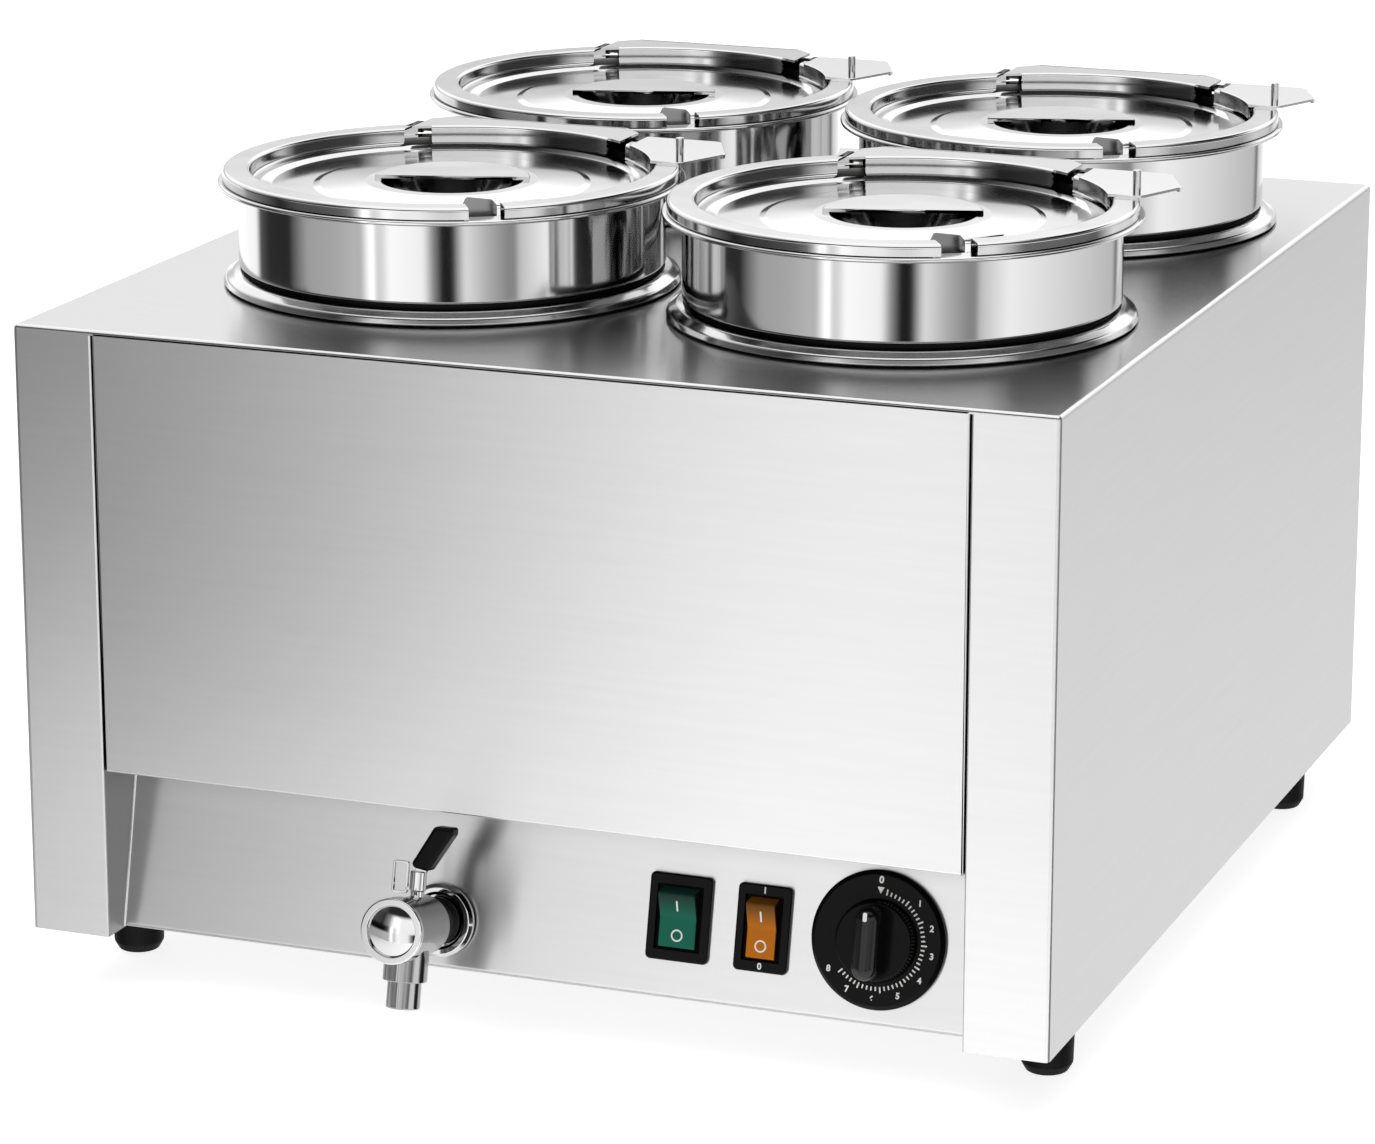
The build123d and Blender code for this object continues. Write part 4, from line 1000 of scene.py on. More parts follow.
@dataclass(frozen=True)
class Pot:
    """One pot with its hinge saddle, lid, grip and lug."""

    corner: Corner
    casing: CasingSizes
    sizes: PotSizes
    finishes: Finishes

    @property
    def place(self) -> Place:
        """Axes on the deck in the middle of the well."""
        return Place((*self.casing.well_centre(self.corner), self.casing.deck))

    def build(self) -> None:
        """Make every piece of the pot."""
        self._vessel()
        self._saddle()
        self._lid()
        self._grip()
        self._lug()

    def _finish(self, surface: Surface, name: str, part: str, node: str, coats: Sequence[Material]) -> None:
        """Finish a piece under the corner's names."""
        corner = self.corner.value
        surface.finish(f"{name}_{corner}", coats, f"{corner}_{part}", [f"{node}_{corner}"])

    def _vessel(self) -> None:
        """Make the pot itself: its band and rim, its inside and the body in the well."""
        s = self.sizes
        under, inner = s.band - s.foot, s.band - s.wall
        outside = [
            (under, s.seat),
            (s.band, s.seat),
            (s.band, s.rim - s.rim_drop),
            (s.rim_out, s.rim - s.rim_drop),
            (s.rim_out, s.rim),
            (inner, s.rim),
        ]
        inside = [
            (inner, s.rim),
            (inner, s.seat + s.wall),
            (s.radius - s.wall, s.seat + s.wall),
            (s.radius - s.wall, s.wall - s.depth),
            (AXIS, s.wall - s.depth),
        ]
        below = [(AXIS, -s.depth), (s.radius, -s.depth), (s.radius, s.seat), (under, s.seat)]
        upward = np.array([0.0, math.tan(math.radians(s.band_lean))])
        shown = [
            Run(run.points, run.normals + upward * run.normals[:, :1] ** 2)
            for run in rounded(outside, (s.foot, 0.8, 1.1, 1.1), side=-1)
        ]
        surface = Surface()
        surface.lathe(self.place, shown)
        surface.coat = 1
        surface.lathe(self.place, rounded(inside, (3, 2.2, 11), side=-1))
        surface.lathe(self.place, rounded(below, (12, 1.2), side=-1))
        self._finish(surface, "vessel", "pot", "pot", [self.finishes.pot, self.finishes.satin])

    def _saddle(self) -> None:
        """Make the hinge saddle: a curved wall, a flat top, a rear lip and the block under it."""
        s = self.sizes
        high, reach, flat = s.plate_z, s.saddle_front + s.fold, s.saddle_half - s.saddle_cut
        path = [(s.saddle_front, s.saddle_foot), (s.saddle_front, high), (s.saddle_front + 8.0, high)]
        profile = rounded(path, s.fold, side=1)[0]
        profile = profile.part(profile.points[:, 0] < reach + 1e-6)
        half = math.asin(s.saddle_wall_half / s.saddle_front)
        angle = np.pi / 2 + half * np.sin(np.linspace(np.pi / 2, -np.pi / 2, 97))
        wall, lean = swept(angle[:, None], profile.points), swept(angle[:, None], profile.normals)
        from_end = (half - np.abs(angle - np.pi / 2)) * s.saddle_front
        short = np.clip(s.saddle_corner - from_end, 0, s.saddle_corner)
        wall[:, 0, 2] += s.saddle_corner - np.sqrt(s.saddle_corner**2 - short**2)
        surface = Surface()
        surface.sheet(self.place.points(wall), self.place.vectors(lean), s.sheet)
        x = np.linspace(-s.saddle_half, s.saddle_half, 65)[:, None]
        near, far = np.sqrt(reach**2 - x**2), s.saddle_rear - np.maximum(np.abs(x) - flat, 0.0)
        share = np.linspace(0, 1, 9)[None]
        top = np.stack(np.broadcast_arrays(x, near * (1 - share) + far * share, high), -1)
        surface.sheet(self.place.points(top), np.broadcast_to(np.array([0, 0, 1.0]), top.shape), s.sheet)
        lip = [(s.saddle_rear - 2, high), (s.saddle_rear, high), (s.saddle_rear, high - s.saddle_lip)]
        surface.folded(self.place.facing("y", "z", "x"), rounded(lip, s.sheet, side=1), s.sheet, -flat, flat)
        (front, rear), under = s.block, high - s.sheet
        block = rounded([(front, s.rim), (rear, s.rim), (rear, under), (front, under)], 0, closed=True)
        # the block under the flat top takes the near-black steel as painted shade
        surface.coat = 1
        surface.lathe(self.place, block, 48, s.block_span)
        self._finish(surface, "saddle", "pot", "hinge_saddle", [self.finishes.pot, self.finishes.painted_dark])

    def _lid_profile(self) -> Run:
        """Draw the profile of the pressing.

        Returns:
            Its face from the middle of the cup to the skirt.
        """
        s = self.sizes
        points = [
            (AXIS, s.cup_floor_z),
            (s.cup_floor, s.cup_floor_z),
            (s.cup_rim, s.cup_rim_z),
            (s.cup_seat, s.cup_rim_z),
            (s.crease - 1.6, s.crease_z + 0.45),
            (s.crease + 1.6, s.crease_z - 0.25),
            (s.pan, s.pan_z),
            (s.ledge, s.ledge_z),
            (s.step, s.ledge_z),
            (s.step, s.lid_top),
            (s.lid, s.lid_top),
            (s.lid, s.skirt),
        ]
        return rounded(points, (2.5, 1.6, 6, 3, 3, 6, 6, 1.6, 1.6, 1.8), side=1, step=5.0)[0]

    def _lid_patch(self, surface: Surface, run: Run, low: np.ndarray, high: np.ndarray, count: int) -> None:
        """Add the part of the pressing between two angles that may change along its profile.

        Args:
            surface: The lid.
            run: The profile.
            low: First angle at each of its places, in radians.
            high: Last angle at each of them.
            count: Places round the turn.
        """
        share = np.linspace(0, 1, count)[:, None]
        angle = low * (1 - share) + high * share
        points, normals = swept(angle, run.points), swept(angle, run.normals)
        surface.sheet(self.place.points(points), self.place.vectors(normals), self.sizes.wall)

    def _lid(self) -> None:
        """Make the pressed lid, open at its notch, its slit and its hinge."""
        s = self.sizes
        run = self._lid_profile()
        first, second = (int(np.argmax(run.points[:, 0] >= radius)) for radius in (s.pan, s.ledge))
        surface = Surface()
        inner = run.part(slice(first + 1))
        surface.lathe(self.place, [inner, Run(inner.points - inner.normals * s.wall, -inner.normals)])

        def notch_edge(part: Run, way: int) -> np.ndarray:
            """Angles of one edge of the notch along a profile."""
            return math.radians(s.notch) + way * np.arcsin(s.notch_half / part.points[:, 0])

        middle = run.part(slice(first, second + 1))
        self._lid_patch(surface, middle, notch_edge(middle, 1), 2 * np.pi + notch_edge(middle, -1), TURN)
        outer = run.part(slice(second, None))
        gap = np.arccos(s.gap_half / outer.points[:, 0])
        self._lid_patch(surface, outer, np.pi - gap, 2 * np.pi + notch_edge(outer, -1), 128)
        inside = (outer.points[:, 1] > s.slit_floor) & (outer.points[:, 0] < s.slit_reach)
        start, stop = np.flatnonzero(inside)[[0, -1]]
        order = np.insert(np.arange(len(inside)), [start, stop + 1], [start, stop])
        width = np.where(inside[order], s.slit_half, 0.0)
        width[[start, stop + 2]] = 0.0
        outer = outer.part(order)
        slit, opening = math.radians(s.slit), np.arcsin(width / outer.points[:, 0])
        self._lid_patch(surface, outer, notch_edge(outer, 1), slit - opening, 96)
        self._lid_patch(surface, outer, slit + opening, gap[order], 64)
        self._notch_leaf(surface)
        self._rib(surface)
        # the ears take the near-black steel as painted shade
        surface.coat = 1
        self._ears(surface)
        coats = [self.finishes.lid, self.finishes.painted_dark, self.finishes.leaf]
        self._finish(surface, "lid", "lid", "lid", coats)

    def _notch_leaf(self, surface: Surface) -> None:
        """Add the leaf that stands behind the notch.

        Args:
            surface: The lid.
        """
        s = self.sizes
        place = self.place.turned(s.notch).at(s.pan - 0.6, 0, s.pan_z)
        place = place.facing("y", "z", "x").tipped(-s.notch_lean)
        half, low, high = s.notch_half, -s.wall, s.notch_lip - s.pan_z
        top = [(half, high - 4.2), (half - 2.2, high - 1.6), (2.6 - half, high), (-half, high - 5.0)]
        outline = rounded([(-half, low), (half, low), *top], (0.2, 0.2, 1.0, 1.6, 1.6, 2.0), closed=True)[0]
        # the leaf takes the lid's steel painted darker as shade
        surface.coat = 2
        surface.plate(place, outline, -0.5, 0.5, 0.3)
        surface.coat = 0

    def _rib(self, surface: Surface) -> None:
        """Add the short pressed rib beside the cup.

        Args:
            surface: The lid.
        """
        s = self.sizes
        angle = np.radians(np.linspace(*s.rib_span, 33))[:, None]
        swell = np.sin(np.linspace(0, np.pi, 33))[:, None] ** 0.35
        across = np.linspace(-1, 1, 9)[None]
        radius = s.rib + s.rib_half * swell * across
        height = s.crease_z + 0.1 + s.rib_rise * swell * np.sqrt(np.maximum(1 - across**2, 0))
        points = np.stack([np.cos(angle) * radius, np.sin(angle) * radius, height], -1)
        lean = swept(angle, np.stack([across[0], np.sqrt(1.05 - across[0] ** 2)], -1))
        surface.grid(self.place.points(points), lean)

    def _ears(self, surface: Surface) -> None:
        """Add the two ears that hold the hinge pin.

        Args:
            surface: The lid.
        """
        s = self.sizes
        place = self.place.facing("y", "z", "x").at(s.hinge_y, s.hinge_z)
        outline = rounded(s.ear, (0.2, 0.2, 2.7, 2.8, 2.8, 0.2), closed=True)[0]
        for way in (-1, 1):
            near, far = sorted((way * s.gap_half, way * (s.gap_half + s.ear_width)))
            surface.plate(place, outline, near, far, 0.4, [circle(s.ear_bore, 24)])

    def _grip(self) -> None:
        """Make the half-round grip over the cup."""
        s = self.sizes
        angle = np.linspace(0, np.pi, 65)
        points = np.stack([np.cos(angle), np.sin(angle)], -1) * s.grip
        loop = Run(points, points / s.grip, True)
        surface = Surface()
        surface.plate(self.place.turned(s.grip_turn), loop, s.cup_rim_z, s.cup_rim_z + s.grip_sheet, 0.7)
        self._finish(surface, "grip", "lid", "lid_grip", [self.finishes.lid])

    def _lug(self) -> None:
        """Make the lug beside the hinge: a flat plate, its turned-down edge, its wall and its peg."""
        s = self.sizes
        high, under = s.plate_z, s.plate_z - s.sheet
        start, stop = math.asin(s.lug[0][1] / s.lug_radius), math.acos(s.lug[-1][0] / s.lug_radius)
        arc = np.linspace(stop, start, 25)
        inner = np.stack([np.cos(arc), np.sin(arc)], -1) * s.lug_radius
        radii = [s.lug_round] * 3 + [0.6] + [0.01] * len(inner)
        loop = rounded(np.concatenate([s.lug, inner]), radii, closed=True)[0]
        surface = Surface()
        surface.plate(self.place, loop, under, high, 0.4)
        tab = rounded((*s.lug[:3], (80.0, s.lug[-1][1])), s.lug_round, side=-1)[0]
        tab = tab.part(np.linalg.norm(tab.points, axis=1) > s.lug_clear)
        edge = self.place.points(layers(tab.points, (under - s.lug_drop, under)))
        surface.sheet(edge, layers(tab.normals, (0.0, 0.0)), s.sheet)
        face = rounded([(s.lug_radius, s.ledge_z + 1.4), (s.lug_radius, high - 0.4)], 0.0, side=1)[0]
        back = Run(face.points + [s.sheet, 0], -face.normals)
        surface.lathe(self.place, [face, back], 32, (math.degrees(start), math.degrees(stop)))
        top = high + s.peg_height
        peg = rounded([(s.peg_radius, high), (s.peg_radius, top), (AXIS, top)], 0.6, side=-1)
        surface.lathe(self.place.at(*s.peg), peg, 32)
        self._finish(surface, "lug", "lid", "lid_lug", [self.finishes.lug])


@dataclass(frozen=True)
class OnPanel:
    """A sub-assembly on the control panel, where its sizes place it."""

    casing: CasingSizes
    sizes: Any
    finishes: Finishes

    @property
    def place(self) -> Place:
        """Axes in its middle, with z out of the panel."""
        return self.casing.panel.at(self.sizes.x, self.sizes.height / math.cos(self.casing.tilt))


@dataclass(frozen=True)
class TapSizes:
    """Drain tap, in millimetres and degrees; turned profiles are (radius, distance along the axis)."""

    x: float = -50.0
    height: float = 23.0
    rose: Path = ((8.1, 1.5), (17.5, 1.5), (17.5, 3.2), (16.0, 5.5), (13.6, 5.5), (12.6, 3.6), (8.1, 3.6))
    barrel: Path = (
        (8.0, -30.0), (8.0, 5.5), (11.5, 5.5), (11.5, 8.0), (10.8, 9.0), (10.8, 19.0),
        (12.0, 21.0), (14.3, 21.0), (14.3, 49.0), (15.5, 50.0), (15.5, 57.0), (AXIS, 57.0),
    )
    # the barrel is painted dark as shade up to this distance from the panel
    shade_reach: float = 20.0
    spout_out: float = 39.0
    spout: Path = ((AXIS, 0.0), (10.5, 0.0), (10.5, 25.0), (5.0, 25.0), (5.0, 10.0))
    tip: Path = ((5.0, 25.0), (8.0, 25.0), (8.0, 38.0), (5.0, 38.0))
    dome: float = 12.2
    dome_rise: float = 2.4
    dome_base: float = 58.7
    front: Path = ((12.2, 58.7), (12.2, 60.0), (15.5, 60.0), (15.5, 57.0), (AXIS, 57.0))
    stem_out: float = 32.0
    stem: Path = ((AXIS, 6.5), (3.2, 6.5), (3.2, 16.5), (3.9, 17.0), (3.9, 26.0), (AXIS, 26.0))
    hoop: Path = ((-13.1, 14.8), (-5.0, 14.8), (-5.0, 30.0), (-13.1, 30.0))
    wire: float = 0.9
    arm_base: float = 24.0
    arm_lean: float = -28.0
    arm_half: float = 1.2
    grip_base: Point = (1.0, 27.6)
    grip: Path = ((-4.6, 0.4), (5.0, -1.0), (16.0, 17.2), (16.0, 20.6), (6.6, 20.6))
    grip_half: float = 4.5
    grip_edge: float = 1.8


@dataclass(frozen=True)
class Tap(OnPanel):
    """Drain tap on the control panel."""

    sizes: TapSizes

    def build(self) -> None:
        """Make every piece of the tap."""
        s = self.sizes
        down = self.place.at(0, 0, s.spout_out).facing("x", "z", "-y")
        rose = rounded(s.rose, (0, 0.3, 0.9, 0.7, 0.5, 0.4, 0), closed=True)
        tip = rounded(s.tip, (0, 0.3, 0.8, 0.4), closed=True)
        self._turned("tap_rose", "tap_flange", self.place, rose, self.finishes.chrome)
        self._barrel(down)
        self._turned("tap_front", "tap_face_cap", self.place, self._front(), self.finishes.chrome)
        self._turned("tap_tip", "tap_nozzle", down, tip, self.finishes.nickel)
        self._handle()
        self._grip()

    def _turned(self, name: str, node: str, place: Place, runs: Sequence[Run], coat: Material) -> None:
        """Make a piece of one turned profile."""
        surface = Surface()
        surface.lathe(place, runs, 96)
        surface.finish(name, [coat], "casing", [node])

    def _barrel(self, down: Place) -> None:
        """Make the barrel, painted dark as shade near the panel, with its spout.

        Args:
            down: Axes of the spout.
        """
        s = self.sizes
        surface = Surface()
        for run in rounded(s.barrel, (0, 0.2, 0.6, 0.6, 1.0, 1.0, 3.4, 0.6, 0.4, 0.2)):
            # rows nearer the panel take the near-black steel as painted shade
            low = run.points[:, 1] < s.shade_reach
            for coat, rows in ((1, low), (0, np.append(~low[1:], True) | ~low)):
                surface.coat = coat
                if rows.sum() > 1:
                    surface.lathe(self.place, [run.part(rows)], 96)
        surface.coat = 0
        surface.lathe(down, rounded(s.spout, (0, 0.6, 0), side=-1), 96)
        coats = [self.finishes.nickel, self.finishes.painted_dark]
        surface.finish("tap_barrel", coats, "casing", ["tap_body"])

    def _front(self) -> list[Run]:
        """Draw the profile of the front cap, a shallow dome in a ring.

        Returns:
            The dome and the ring.
        """
        s = self.sizes
        sphere = (s.dome**2 + s.dome_rise**2) / (2 * s.dome_rise)
        swing = np.linspace(0.001, math.asin(s.dome / sphere), 17)
        lean = np.stack([np.sin(swing), np.cos(swing)], -1)
        dome = Run(lean * sphere + [0, s.dome_base + s.dome_rise - sphere], lean)
        return [dome, *rounded(s.front, (0.3, 0.8, 0.1), side=1)]

    def _handle(self) -> None:
        """Make the stem, the wire hoop beside it and the arm in the grip."""
        s = self.sizes
        face = self.place.at(0, 0, s.stem_out)
        surface = Surface()
        surface.lathe(face.facing("-x", "z", "y"), rounded(s.stem, (0.2, 0.2, 0.4, 0.5)), 48)
        outer = rounded(s.hoop, 1.4, closed=True)[0]
        inner = Run(outer.points - outer.normals * s.wire, outer.normals, True)
        surface.plate(face, outer, -s.wire, s.wire, 0.3, [inner], foot=0.3)
        surface.plate(face, box_outline(6.0, 1.2, 0.3, (-3.0, 17.3)), -s.wire, s.wire, 0.1)
        arm = face.at(0, s.arm_base).turned(s.arm_lean)
        surface.plate(arm, box_outline(5.0, 12.0, 0.4, (0.0, 6.0)), -s.arm_half, s.arm_half, 0.2)
        surface.finish("tap_handle", [self.finishes.chrome], "tap_handle", ["tap_lever"])

    def _grip(self) -> None:
        """Make the black grip on the arm."""
        s = self.sizes
        outline = rounded(s.grip, (2.2, 2.2, 2.0, 1.4, 2.6), closed=True)[0]
        place = self.place.at(0, 0, s.stem_out).at(*s.grip_base)
        surface = Surface()
        surface.plate(place, outline, -s.grip_half, s.grip_half, s.grip_edge, foot=s.grip_edge, steps=6)
        coats = [self.finishes.black]
        surface.finish("tap_handle_grip", coats, "tap_handle", ["tap_grip"])


@dataclass(frozen=True)
class SwitchSizes:
    """One rocker switch, in millimetres and degrees."""

    name: str
    slot: str
    x: float
    bezel: float
    opening: float
    marked: bool = False
    height: float = 38.0
    bezel_height: float = 41.0
    opening_height: float = 31.0
    face: float = 2.4
    floor: float = 0.15
    figures: tuple[tuple[str, float], ...] = (("1", 17.7), ("0", -17.7))
    lean: float = 24.0
    reach: float = 14.5
    flat: float = 3.0
    depth: float = 5.0
    clearance: float = 2.2
    bar_y: float = 6.4
    ring_y: float = -8.2


@dataclass(frozen=True)
class Switch(OnPanel):
    """A rocker switch: bezel, rocker and its printed marks."""

    sizes: SwitchSizes
    lens: Material

    def build(self) -> None:
        """Make the switch."""
        self._bezel()
        self._rocker()
        self._rocker_marks()
        if self.sizes.marked:
            self._bezel_marks()

    def _bezel(self) -> None:
        """Make the bezel with the dark floor of its opening."""
        s = self.sizes
        surface = Surface()
        mouth = box_outline(s.opening, s.opening_height, 0.6)
        outline = box_outline(s.bezel, s.bezel_height, 2.5)
        surface.plate(self.place, outline, 0.0, s.face, 1.0, [mouth], rim=1)
        surface.coat = 1
        surface.fill([self.place.points(raised(mouth.points, s.floor))], np.array(self.place.z))
        coats = [self.finishes.black, self.finishes.matt]
        node = f"{s.name}_switch_bezel"
        surface.finish(f"{s.name}_bezel", coats, "casing", [node])

    def _rocker(self) -> None:
        """Make the rocker, bent at its middle and cut to clear its turn."""
        s = self.sizes
        slope = math.tan(math.radians(s.lean))
        top = float(np.roots([1 + slope**2, 2 * s.flat * slope, s.flat**2 - s.reach**2]).max())
        low, base = -math.sqrt(s.reach**2 - s.flat**2), math.sqrt(s.reach**2 - s.depth**2)
        upper = [(base, -s.depth), (s.reach * 0.995, 1.0), (top, s.flat + top * slope)]
        lower = [(0.0, s.flat), (low, s.flat), (-base, -s.depth)]
        outline = rounded(upper + lower, (0.4, 2.0, 1.2, 3.0, 1.2, 0.4), closed=True)[0]
        half = s.opening / 2 - s.clearance
        surface = Surface()
        surface.plate(self.place.facing("y", "z", "x"), outline, -half, half, 0.7, foot=0.7)
        body, node = f"{s.name}_switch_rocker", f"{s.name}_rocker"
        surface.finish(f"{s.name}_lens", [self.lens], body, [node])

    def _rocker_marks(self) -> None:
        """Print the on mark on the sloping half and the off mark on the flat one."""
        s = self.sizes
        lean = math.radians(s.lean)
        over = (s.bar_y + s.flat * math.sin(lean), s.flat * math.cos(lean) + PRINT_GAP)
        surface = Surface()
        surface.plate(self.place.tipped(s.lean).at(0, *over), box_outline(0.8, 5.6, 0.3), *PRINT)
        ring = self.place.at(0, s.ring_y, s.flat + PRINT_GAP)
        surface.plate(ring, circle(2.9, 48), *PRINT, [circle(2.15, 48)])
        body = f"{s.name}_switch_rocker"
        surface.finish(f"{s.name}_rocker_marks", [self.finishes.print], body)

    def _bezel_marks(self) -> None:
        """Print the figures over and under the opening."""
        s = self.sizes
        surface = Surface()
        for words, y in s.figures:
            surface.text(self.place.at(0, y, s.face + TEXT_GAP), words, 3.0, 0.12)
        surface.finish(f"{s.name}_bezel_marks", [self.finishes.print], "casing")


@dataclass(frozen=True)
class DialSizes:
    """Thermostat dial, in millimetres and degrees; turned profiles are (radius, height)."""

    x: float = 168.0
    height: float = 39.5
    face: float = 4.0
    plate: Path = ((3.6, 0), (32.5, 0), (32.5, 2.0), (30.5, 4.0), (3.6, 4.0))
    ticks: tuple[float, float, int] = (8.0, 226.0, 41)
    tick_start: float = 21.4
    tick_width: float = 0.72
    short_tick: float = 1.9
    long_tick: float = 2.8
    figures: tuple[float, float, int] = (45.0, 235.0, 8)
    figure_radius: float = 27.2
    zero_radius: float = 28.0
    pointer: Path = ((-1.7, 24.8), (0.0, 21.6), (1.7, 24.8))
    skirt: Path = ((3.05, 4.5), (19.5, 4.5), (18.3, 10.5), (AXIS, 10.5))
    bar: Point = (12.4, 34.6)
    bar_base: float = 9.0
    bar_top: float = 24.5
    mark_y: float = 12.6
    slot: str = "black_gloss_plastic"


@dataclass(frozen=True)
class Dial(OnPanel):
    """Thermostat dial plate, its scale and its knob."""

    sizes: DialSizes

    def build(self) -> None:
        """Make the dial."""
        self._face()
        self._scale()
        self._knob()
        self._knob_mark()

    def _face(self) -> None:
        """Make the dial plate."""
        s = self.sizes
        surface = Surface()
        surface.lathe(self.place, rounded(s.plate, (0, 0.3, 0.6, 0.6, 0), closed=True), 128)
        surface.finish("dial_face", [self.finishes.black], "casing", ["dial_plate"])

    def _scale(self) -> None:
        """Print the ticks, the numbers and the pointer at zero."""
        s = self.sizes
        surface = Surface()
        for index, angle in enumerate(np.linspace(*s.ticks)):
            length = s.short_tick if index % 5 else s.long_tick
            tick = self.place.turned(-float(angle)).at(0, s.tick_start + length / 2, s.face + PRINT_GAP)
            surface.plate(tick, box_outline(s.tick_width, length, 0.1), *PRINT)
        for index, angle in enumerate(np.linspace(*s.figures)):
            surface.text(self._upright(float(angle), s.figure_radius), str(index + 1), 2.9, 0.14)
        surface.text(self._upright(0.0, s.zero_radius), "0", 3.2, 0.16)
        pointer = rounded(s.pointer, 0.2, closed=True)[0]
        surface.plate(self.place.at(0, 0, s.face + PRINT_GAP), pointer, *PRINT)
        surface.finish("dial_scale", [self.finishes.print], "casing")

    def _upright(self, angle: float, radius: float) -> Place:
        """Upright axes on the plate at an angle clockwise from the top."""
        a = math.radians(angle)
        return self.place.at(radius * math.sin(a), radius * math.cos(a), self.sizes.face + TEXT_GAP)

    def _knob(self) -> None:
        """Make the knob: a skirt with a bar across it."""
        s = self.sizes
        surface = Surface()
        surface.lathe(self.place, rounded(s.skirt, (0.3, 1.2), side=1), 96)
        surface.coat = 1
        surface.plate(self.place, box_outline(*s.bar, 6.1), s.bar_base, s.bar_top, 5.6, steps=10)
        coats = [self.finishes.black, self.finishes.knob]
        surface.finish("dial_knob", coats, "dial", ["thermostat_knob"])

    def _knob_mark(self) -> None:
        """Print the mark on the end of the bar."""
        s = self.sizes
        surface = Surface()
        surface.plate(self.place.at(0, s.mark_y, s.bar_top + 0.02), box_outline(2.0, 4.2, 0.8), *PRINT)
        surface.finish("dial_knob_mark", [self.finishes.print], "dial")


@dataclass(frozen=True)
class HiddenPieces:
    """CAD nodes that stay as they are, with their materials."""

    finishes: Finishes

    def build(self) -> None:
        """Give each kept node its material."""
        finishes = self.finishes
        looks = (
            (finishes.sheet, ("back_panel",)),
            (finishes.inner, ("base_plate", "water_tank", "element_clamps")),
            (finishes.plain, ("casing_screws", "foot_screws", "thermostat_shaft")),
            (finishes.hot, ("heating_element", "safety_cutout")),
            (finishes.hot, tuple(f"hinge_pin_{corner.value}" for corner in Corner)),
            (finishes.brass, ("drain_pipe", "tap_lock_nut")),
            (finishes.copper, ("thermostat_bulb",)),
            (finishes.rubber, ("tap_gasket",)),
            (finishes.matt, ("thermostat_body", "cable_gland", "gland_lock_nut")),
            (finishes.cream, ("terminal_block",)),
        )
        for material, names in looks:
            for name in names:
                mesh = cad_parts[name].data
                mesh.materials.clear()
                mesh.materials.append(material)
                log.info("%s kept, in %s", name, material.name)


@dataclass(frozen=True)
class StudioSizes:
    """Camera in millimetres, staging in metres and reflected surroundings.

    Each ramp gives displayed levels by degrees round from the camera, and each band
    names the ramp that takes over between two elevations.
    """

    camera: Axis = (881.7, -2343.3, 854.9)
    azimuth: float = 21.06
    elevation: float = 15.40
    lens: float = 133.6
    sensor: float = 36.0
    strength: float = 2.94
    share: float = 0.5
    backdrop: float = 0.34
    nadir: float = 0.95
    zenith: float = 1.08
    bands: tuple[tuple[float, float, str], ...] = (
        (-70, -50, "room"), (-12, -9, "strips"), (1, 5, "room"),
        (9, 15, "back"), (26, 33, "above"), (50, 64, "zenith"),
    )
    strips: Path = (
        (-180, 1.02), (-126, 1.02), (-121, 0.34), (-112, 0.20), (-94, 0.18), (-87, 0.48), (-80, 0.66),
        (-62, 0.70), (-50, 0.76), (-47, 0.72), (-43, 1.03), (-40.5, 1.21), (-38, 0.87), (-35, 0.89),
        (-31, 1.07), (-13, 1.02), (-8, 0.58), (-3.2, 0.03), (2.5, 0.03), (5.4, 0.64), (9, 0.93),
        (21, 0.72), (32, 0.55), (35.5, 0.55), (38, 0.80), (54, 1.01), (72, 0.95), (100, 0.86),
        (136, 0.74), (142, 0.41), (147, 0.82), (180, 1.02),
    )
    room: Path = (
        (-180, 0.74), (-140, 0.78), (-104, 0.40), (-92, 0.10), (-60, 0.08), (-54, 0.14), (-48.5, 0.35),
        (-45, 0.79), (-42, 1.23), (-40.5, 1.25), (-38.5, 0.97), (-36, 0.89), (-31, 1.14), (-24, 1.03),
        (0, 1.02), (42, 0.98), (58, 0.20), (106, 0.20), (120, 0.94), (150, 0.88), (180, 0.74),
    )
    back: Path = (
        (-180, 1.12), (-140, 1.00), (-100, 0.40), (-60, 0.22), (-48, 0.60), (-42, 1.02), (-36, 1.20),
        (-24, 1.04), (0, 1.04), (42, 1.00), (60, 0.40), (105, 0.36), (120, 1.00), (150, 1.10), (180, 1.12),
    )
    above: Path = (
        (-180, 1.08), (-135, 1.02), (-105, 0.70), (-75, 0.42), (-55, 0.18), (55, 0.18), (75, 0.36),
        (95, 0.16), (136, 0.16), (152, 1.00), (180, 1.08),
    )
    floor_reach: float = 6.0
    floor_paint: float = 0.69
    floor_light: float = 0.82
    glow_x: Point = (-0.9, 0.8)
    glow_y: Point = (-0.60, -0.28)
    glow_z: float = 0.001
    glow_fade: Point = (-0.45, 0.05)
    glow_light: Point = (0.66, 1.99)
    lamp: Axis = (-1.4, -1.6, 2.2)
    lamp_aim: Axis = (0.0, 0.0, 0.2)
    lamp_size: Point = (1.6, 1.2)
    lamp_power: float = 17.6


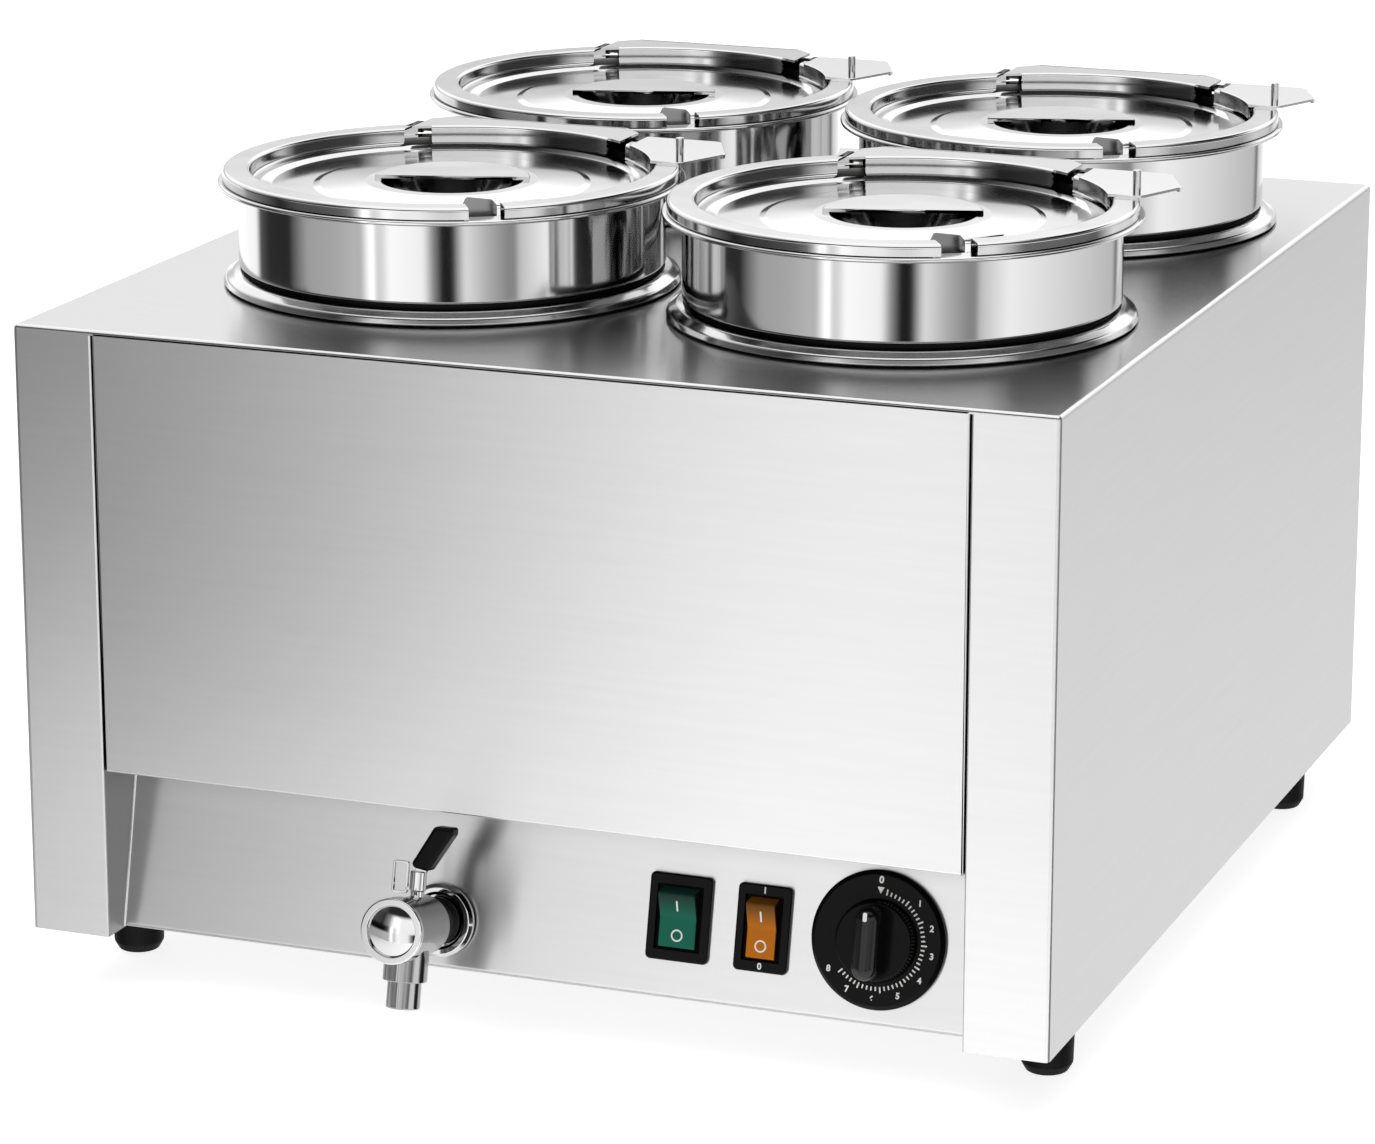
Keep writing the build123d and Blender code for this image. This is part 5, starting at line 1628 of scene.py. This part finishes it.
@dataclass(frozen=True)
class Studio:
    """Camera, surroundings, floor and lamp."""

    sizes: StudioSizes

    def build(self) -> None:
        """Set up the whole studio."""
        self._camera()
        self._surroundings()
        self._floor()
        self._glow()
        self._lamp()
        bpy.context.scene.view_settings.view_transform = "Standard"

    def _camera(self) -> None:
        """Place the camera that took the photo."""
        s = self.sizes
        data = bpy.data.cameras.new("camera")
        data.lens, data.sensor_width, data.sensor_fit = s.lens, s.sensor, "HORIZONTAL"
        data.clip_start, data.clip_end = 0.05, 50.0
        camera = bpy.data.objects.new("camera", data)
        camera.location = [v * MM for v in s.camera]
        camera.rotation_euler = (math.radians(90 - s.elevation), 0.0, math.radians(s.azimuth))
        bpy.context.scene.collection.objects.link(camera)
        bpy.context.scene.camera = camera

    def _surroundings(self) -> None:
        """Make the room that the steel mirrors, plain white where the camera sees it."""
        s = self.sizes
        world = bpy.data.worlds.new("studio")
        bpy.context.scene.world = world
        world.use_nodes = True
        nodes = Nodes(world.node_tree)
        way = nodes.add("SeparateXYZ", Vector=nodes.add("TexCoord").outputs["Generated"])
        around = nodes.math("ARCTAN2", way.outputs[0], nodes.math("MULTIPLY", way.outputs[1], -1.0))
        offset = nodes.math("SUBTRACT", around, math.radians(s.azimuth))
        share = nodes.spread(nodes.math("WRAP", offset, math.pi, -math.pi), (-math.pi, math.pi))
        levels: dict[str, Socket | Colour] = {
            name: nodes.ramp(share, [((a + 180) / 360, grey(v, s.share)) for a, v in getattr(s, name)])
            for name in ("strips", "room", "back", "above")
        }
        levels["zenith"] = grey(s.zenith, s.share)
        rise = nodes.math("ARCSINE", way.outputs[2])
        colour = grey(s.nadir, s.share)
        for low, high, name in s.bands:
            ends = (math.radians(low), math.radians(high))
            colour = nodes.mix(nodes.spread(rise, ends, ease="SMOOTHSTEP"), colour, levels[name])
        seen = nodes.add("LightPath").outputs["Is Camera Ray"]
        shown = nodes.mix(seen, colour, (s.backdrop, s.backdrop, s.backdrop, 1.0))
        light = nodes.add("Background", Color=shown, Strength=s.strength)
        nodes.add("OutputWorld", Surface=light.outputs[0])

    @staticmethod
    def _sheet(name: str, material: Material, x: Point, y: Point, z: float) -> Piece:
        """Stage a level rectangle.

        Args:
            name: Its name.
            material: Its material.
            x: Its ends along x, in metres.
            y: Its ends along y.
            z: Its level.

        Returns:
            The staged object.
        """
        mesh = bpy.data.meshes.new(name)
        corners = [(x[0], y[0], z), (x[1], y[0], z), (x[1], y[1], z), (x[0], y[1], z)]
        mesh.from_pydata(corners, [], [(0, 1, 2, 3)])
        mesh.materials.append(material)
        sheet = bpy.data.objects.new(name, mesh)
        bpy.context.scene.collection.objects.link(sheet)
        return sheet

    def _floor(self) -> None:
        """Lay the pale floor, which only the camera and soft light see."""
        s = self.sizes
        material, nodes = material_nodes("pale_floor")
        paint = nodes.add("BsdfDiffuse", Color=grey(s.floor_paint))
        glow = nodes.add("Emission", Color=grey(1.0), Strength=s.floor_light)
        both = nodes.add("AddShader", i0=paint.outputs[0], i1=glow.outputs[0])
        nodes.add("OutputMaterial", Surface=both.outputs[0])
        span = (-s.floor_reach, s.floor_reach)
        self._sheet("floor", material, span, span, 0.0).visible_glossy = False

    def _glow(self) -> None:
        """Lay a bright sheet on the floor in front, seen only as a reflection."""
        s = self.sizes
        material, nodes = material_nodes("floor_glow")
        place = nodes.add("SeparateXYZ", Vector=nodes.add("TexCoord").outputs["Object"])
        strength = nodes.spread(place.outputs[0], s.glow_fade, s.glow_light)
        light = nodes.add("Emission", Color=grey(1.0), Strength=strength)
        nodes.add("OutputMaterial", Surface=light.outputs[0])
        sheet = self._sheet("floor_glow", material, s.glow_x, s.glow_y, s.glow_z)
        sheet.visible_camera = sheet.visible_diffuse = sheet.visible_shadow = False
        sheet.visible_transmission = False

    def _lamp(self) -> None:
        """Hang one soft lamp, which the steel doesn't mirror."""
        s = self.sizes
        data = bpy.data.lights.new("soft_key", "AREA")
        data.shape, (data.size, data.size_y), data.energy = "RECTANGLE", s.lamp_size, s.lamp_power
        lamp = bpy.data.objects.new("soft_key", data)
        lamp.location = s.lamp
        lamp.rotation_euler = (Vector(s.lamp_aim) - Vector(s.lamp)).to_track_quat("-Z", "Y").to_euler()
        lamp.visible_glossy = False
        bpy.context.scene.collection.objects.link(lamp)


def main() -> None:
    """Build the looks and the studio in order; each piece is reported as it is finished."""
    finishes = Finishes()
    casing = CasingSizes()
    power = SwitchSizes("power", "green_lens", 70.0, 31.0, 23.0)
    heat = SwitchSizes("heat", "amber_lens", 111.5, 26.5, 19.0, marked=True)
    builders = [
        Casing(casing, finishes),
        *(Pot(corner, casing, PotSizes(), finishes) for corner in Corner),
        Tap(casing, TapSizes(), finishes),
        Switch(casing, power, finishes, finishes.green),
        Switch(casing, heat, finishes, finishes.amber),
        Dial(casing, DialSizes(), finishes),
        HiddenPieces(finishes),
        Studio(StudioSizes()),
    ]
    for builder in builders:
        log.info("building %s", type(builder).__name__)
        builder.build()


if __name__ == "__main__":
    main()
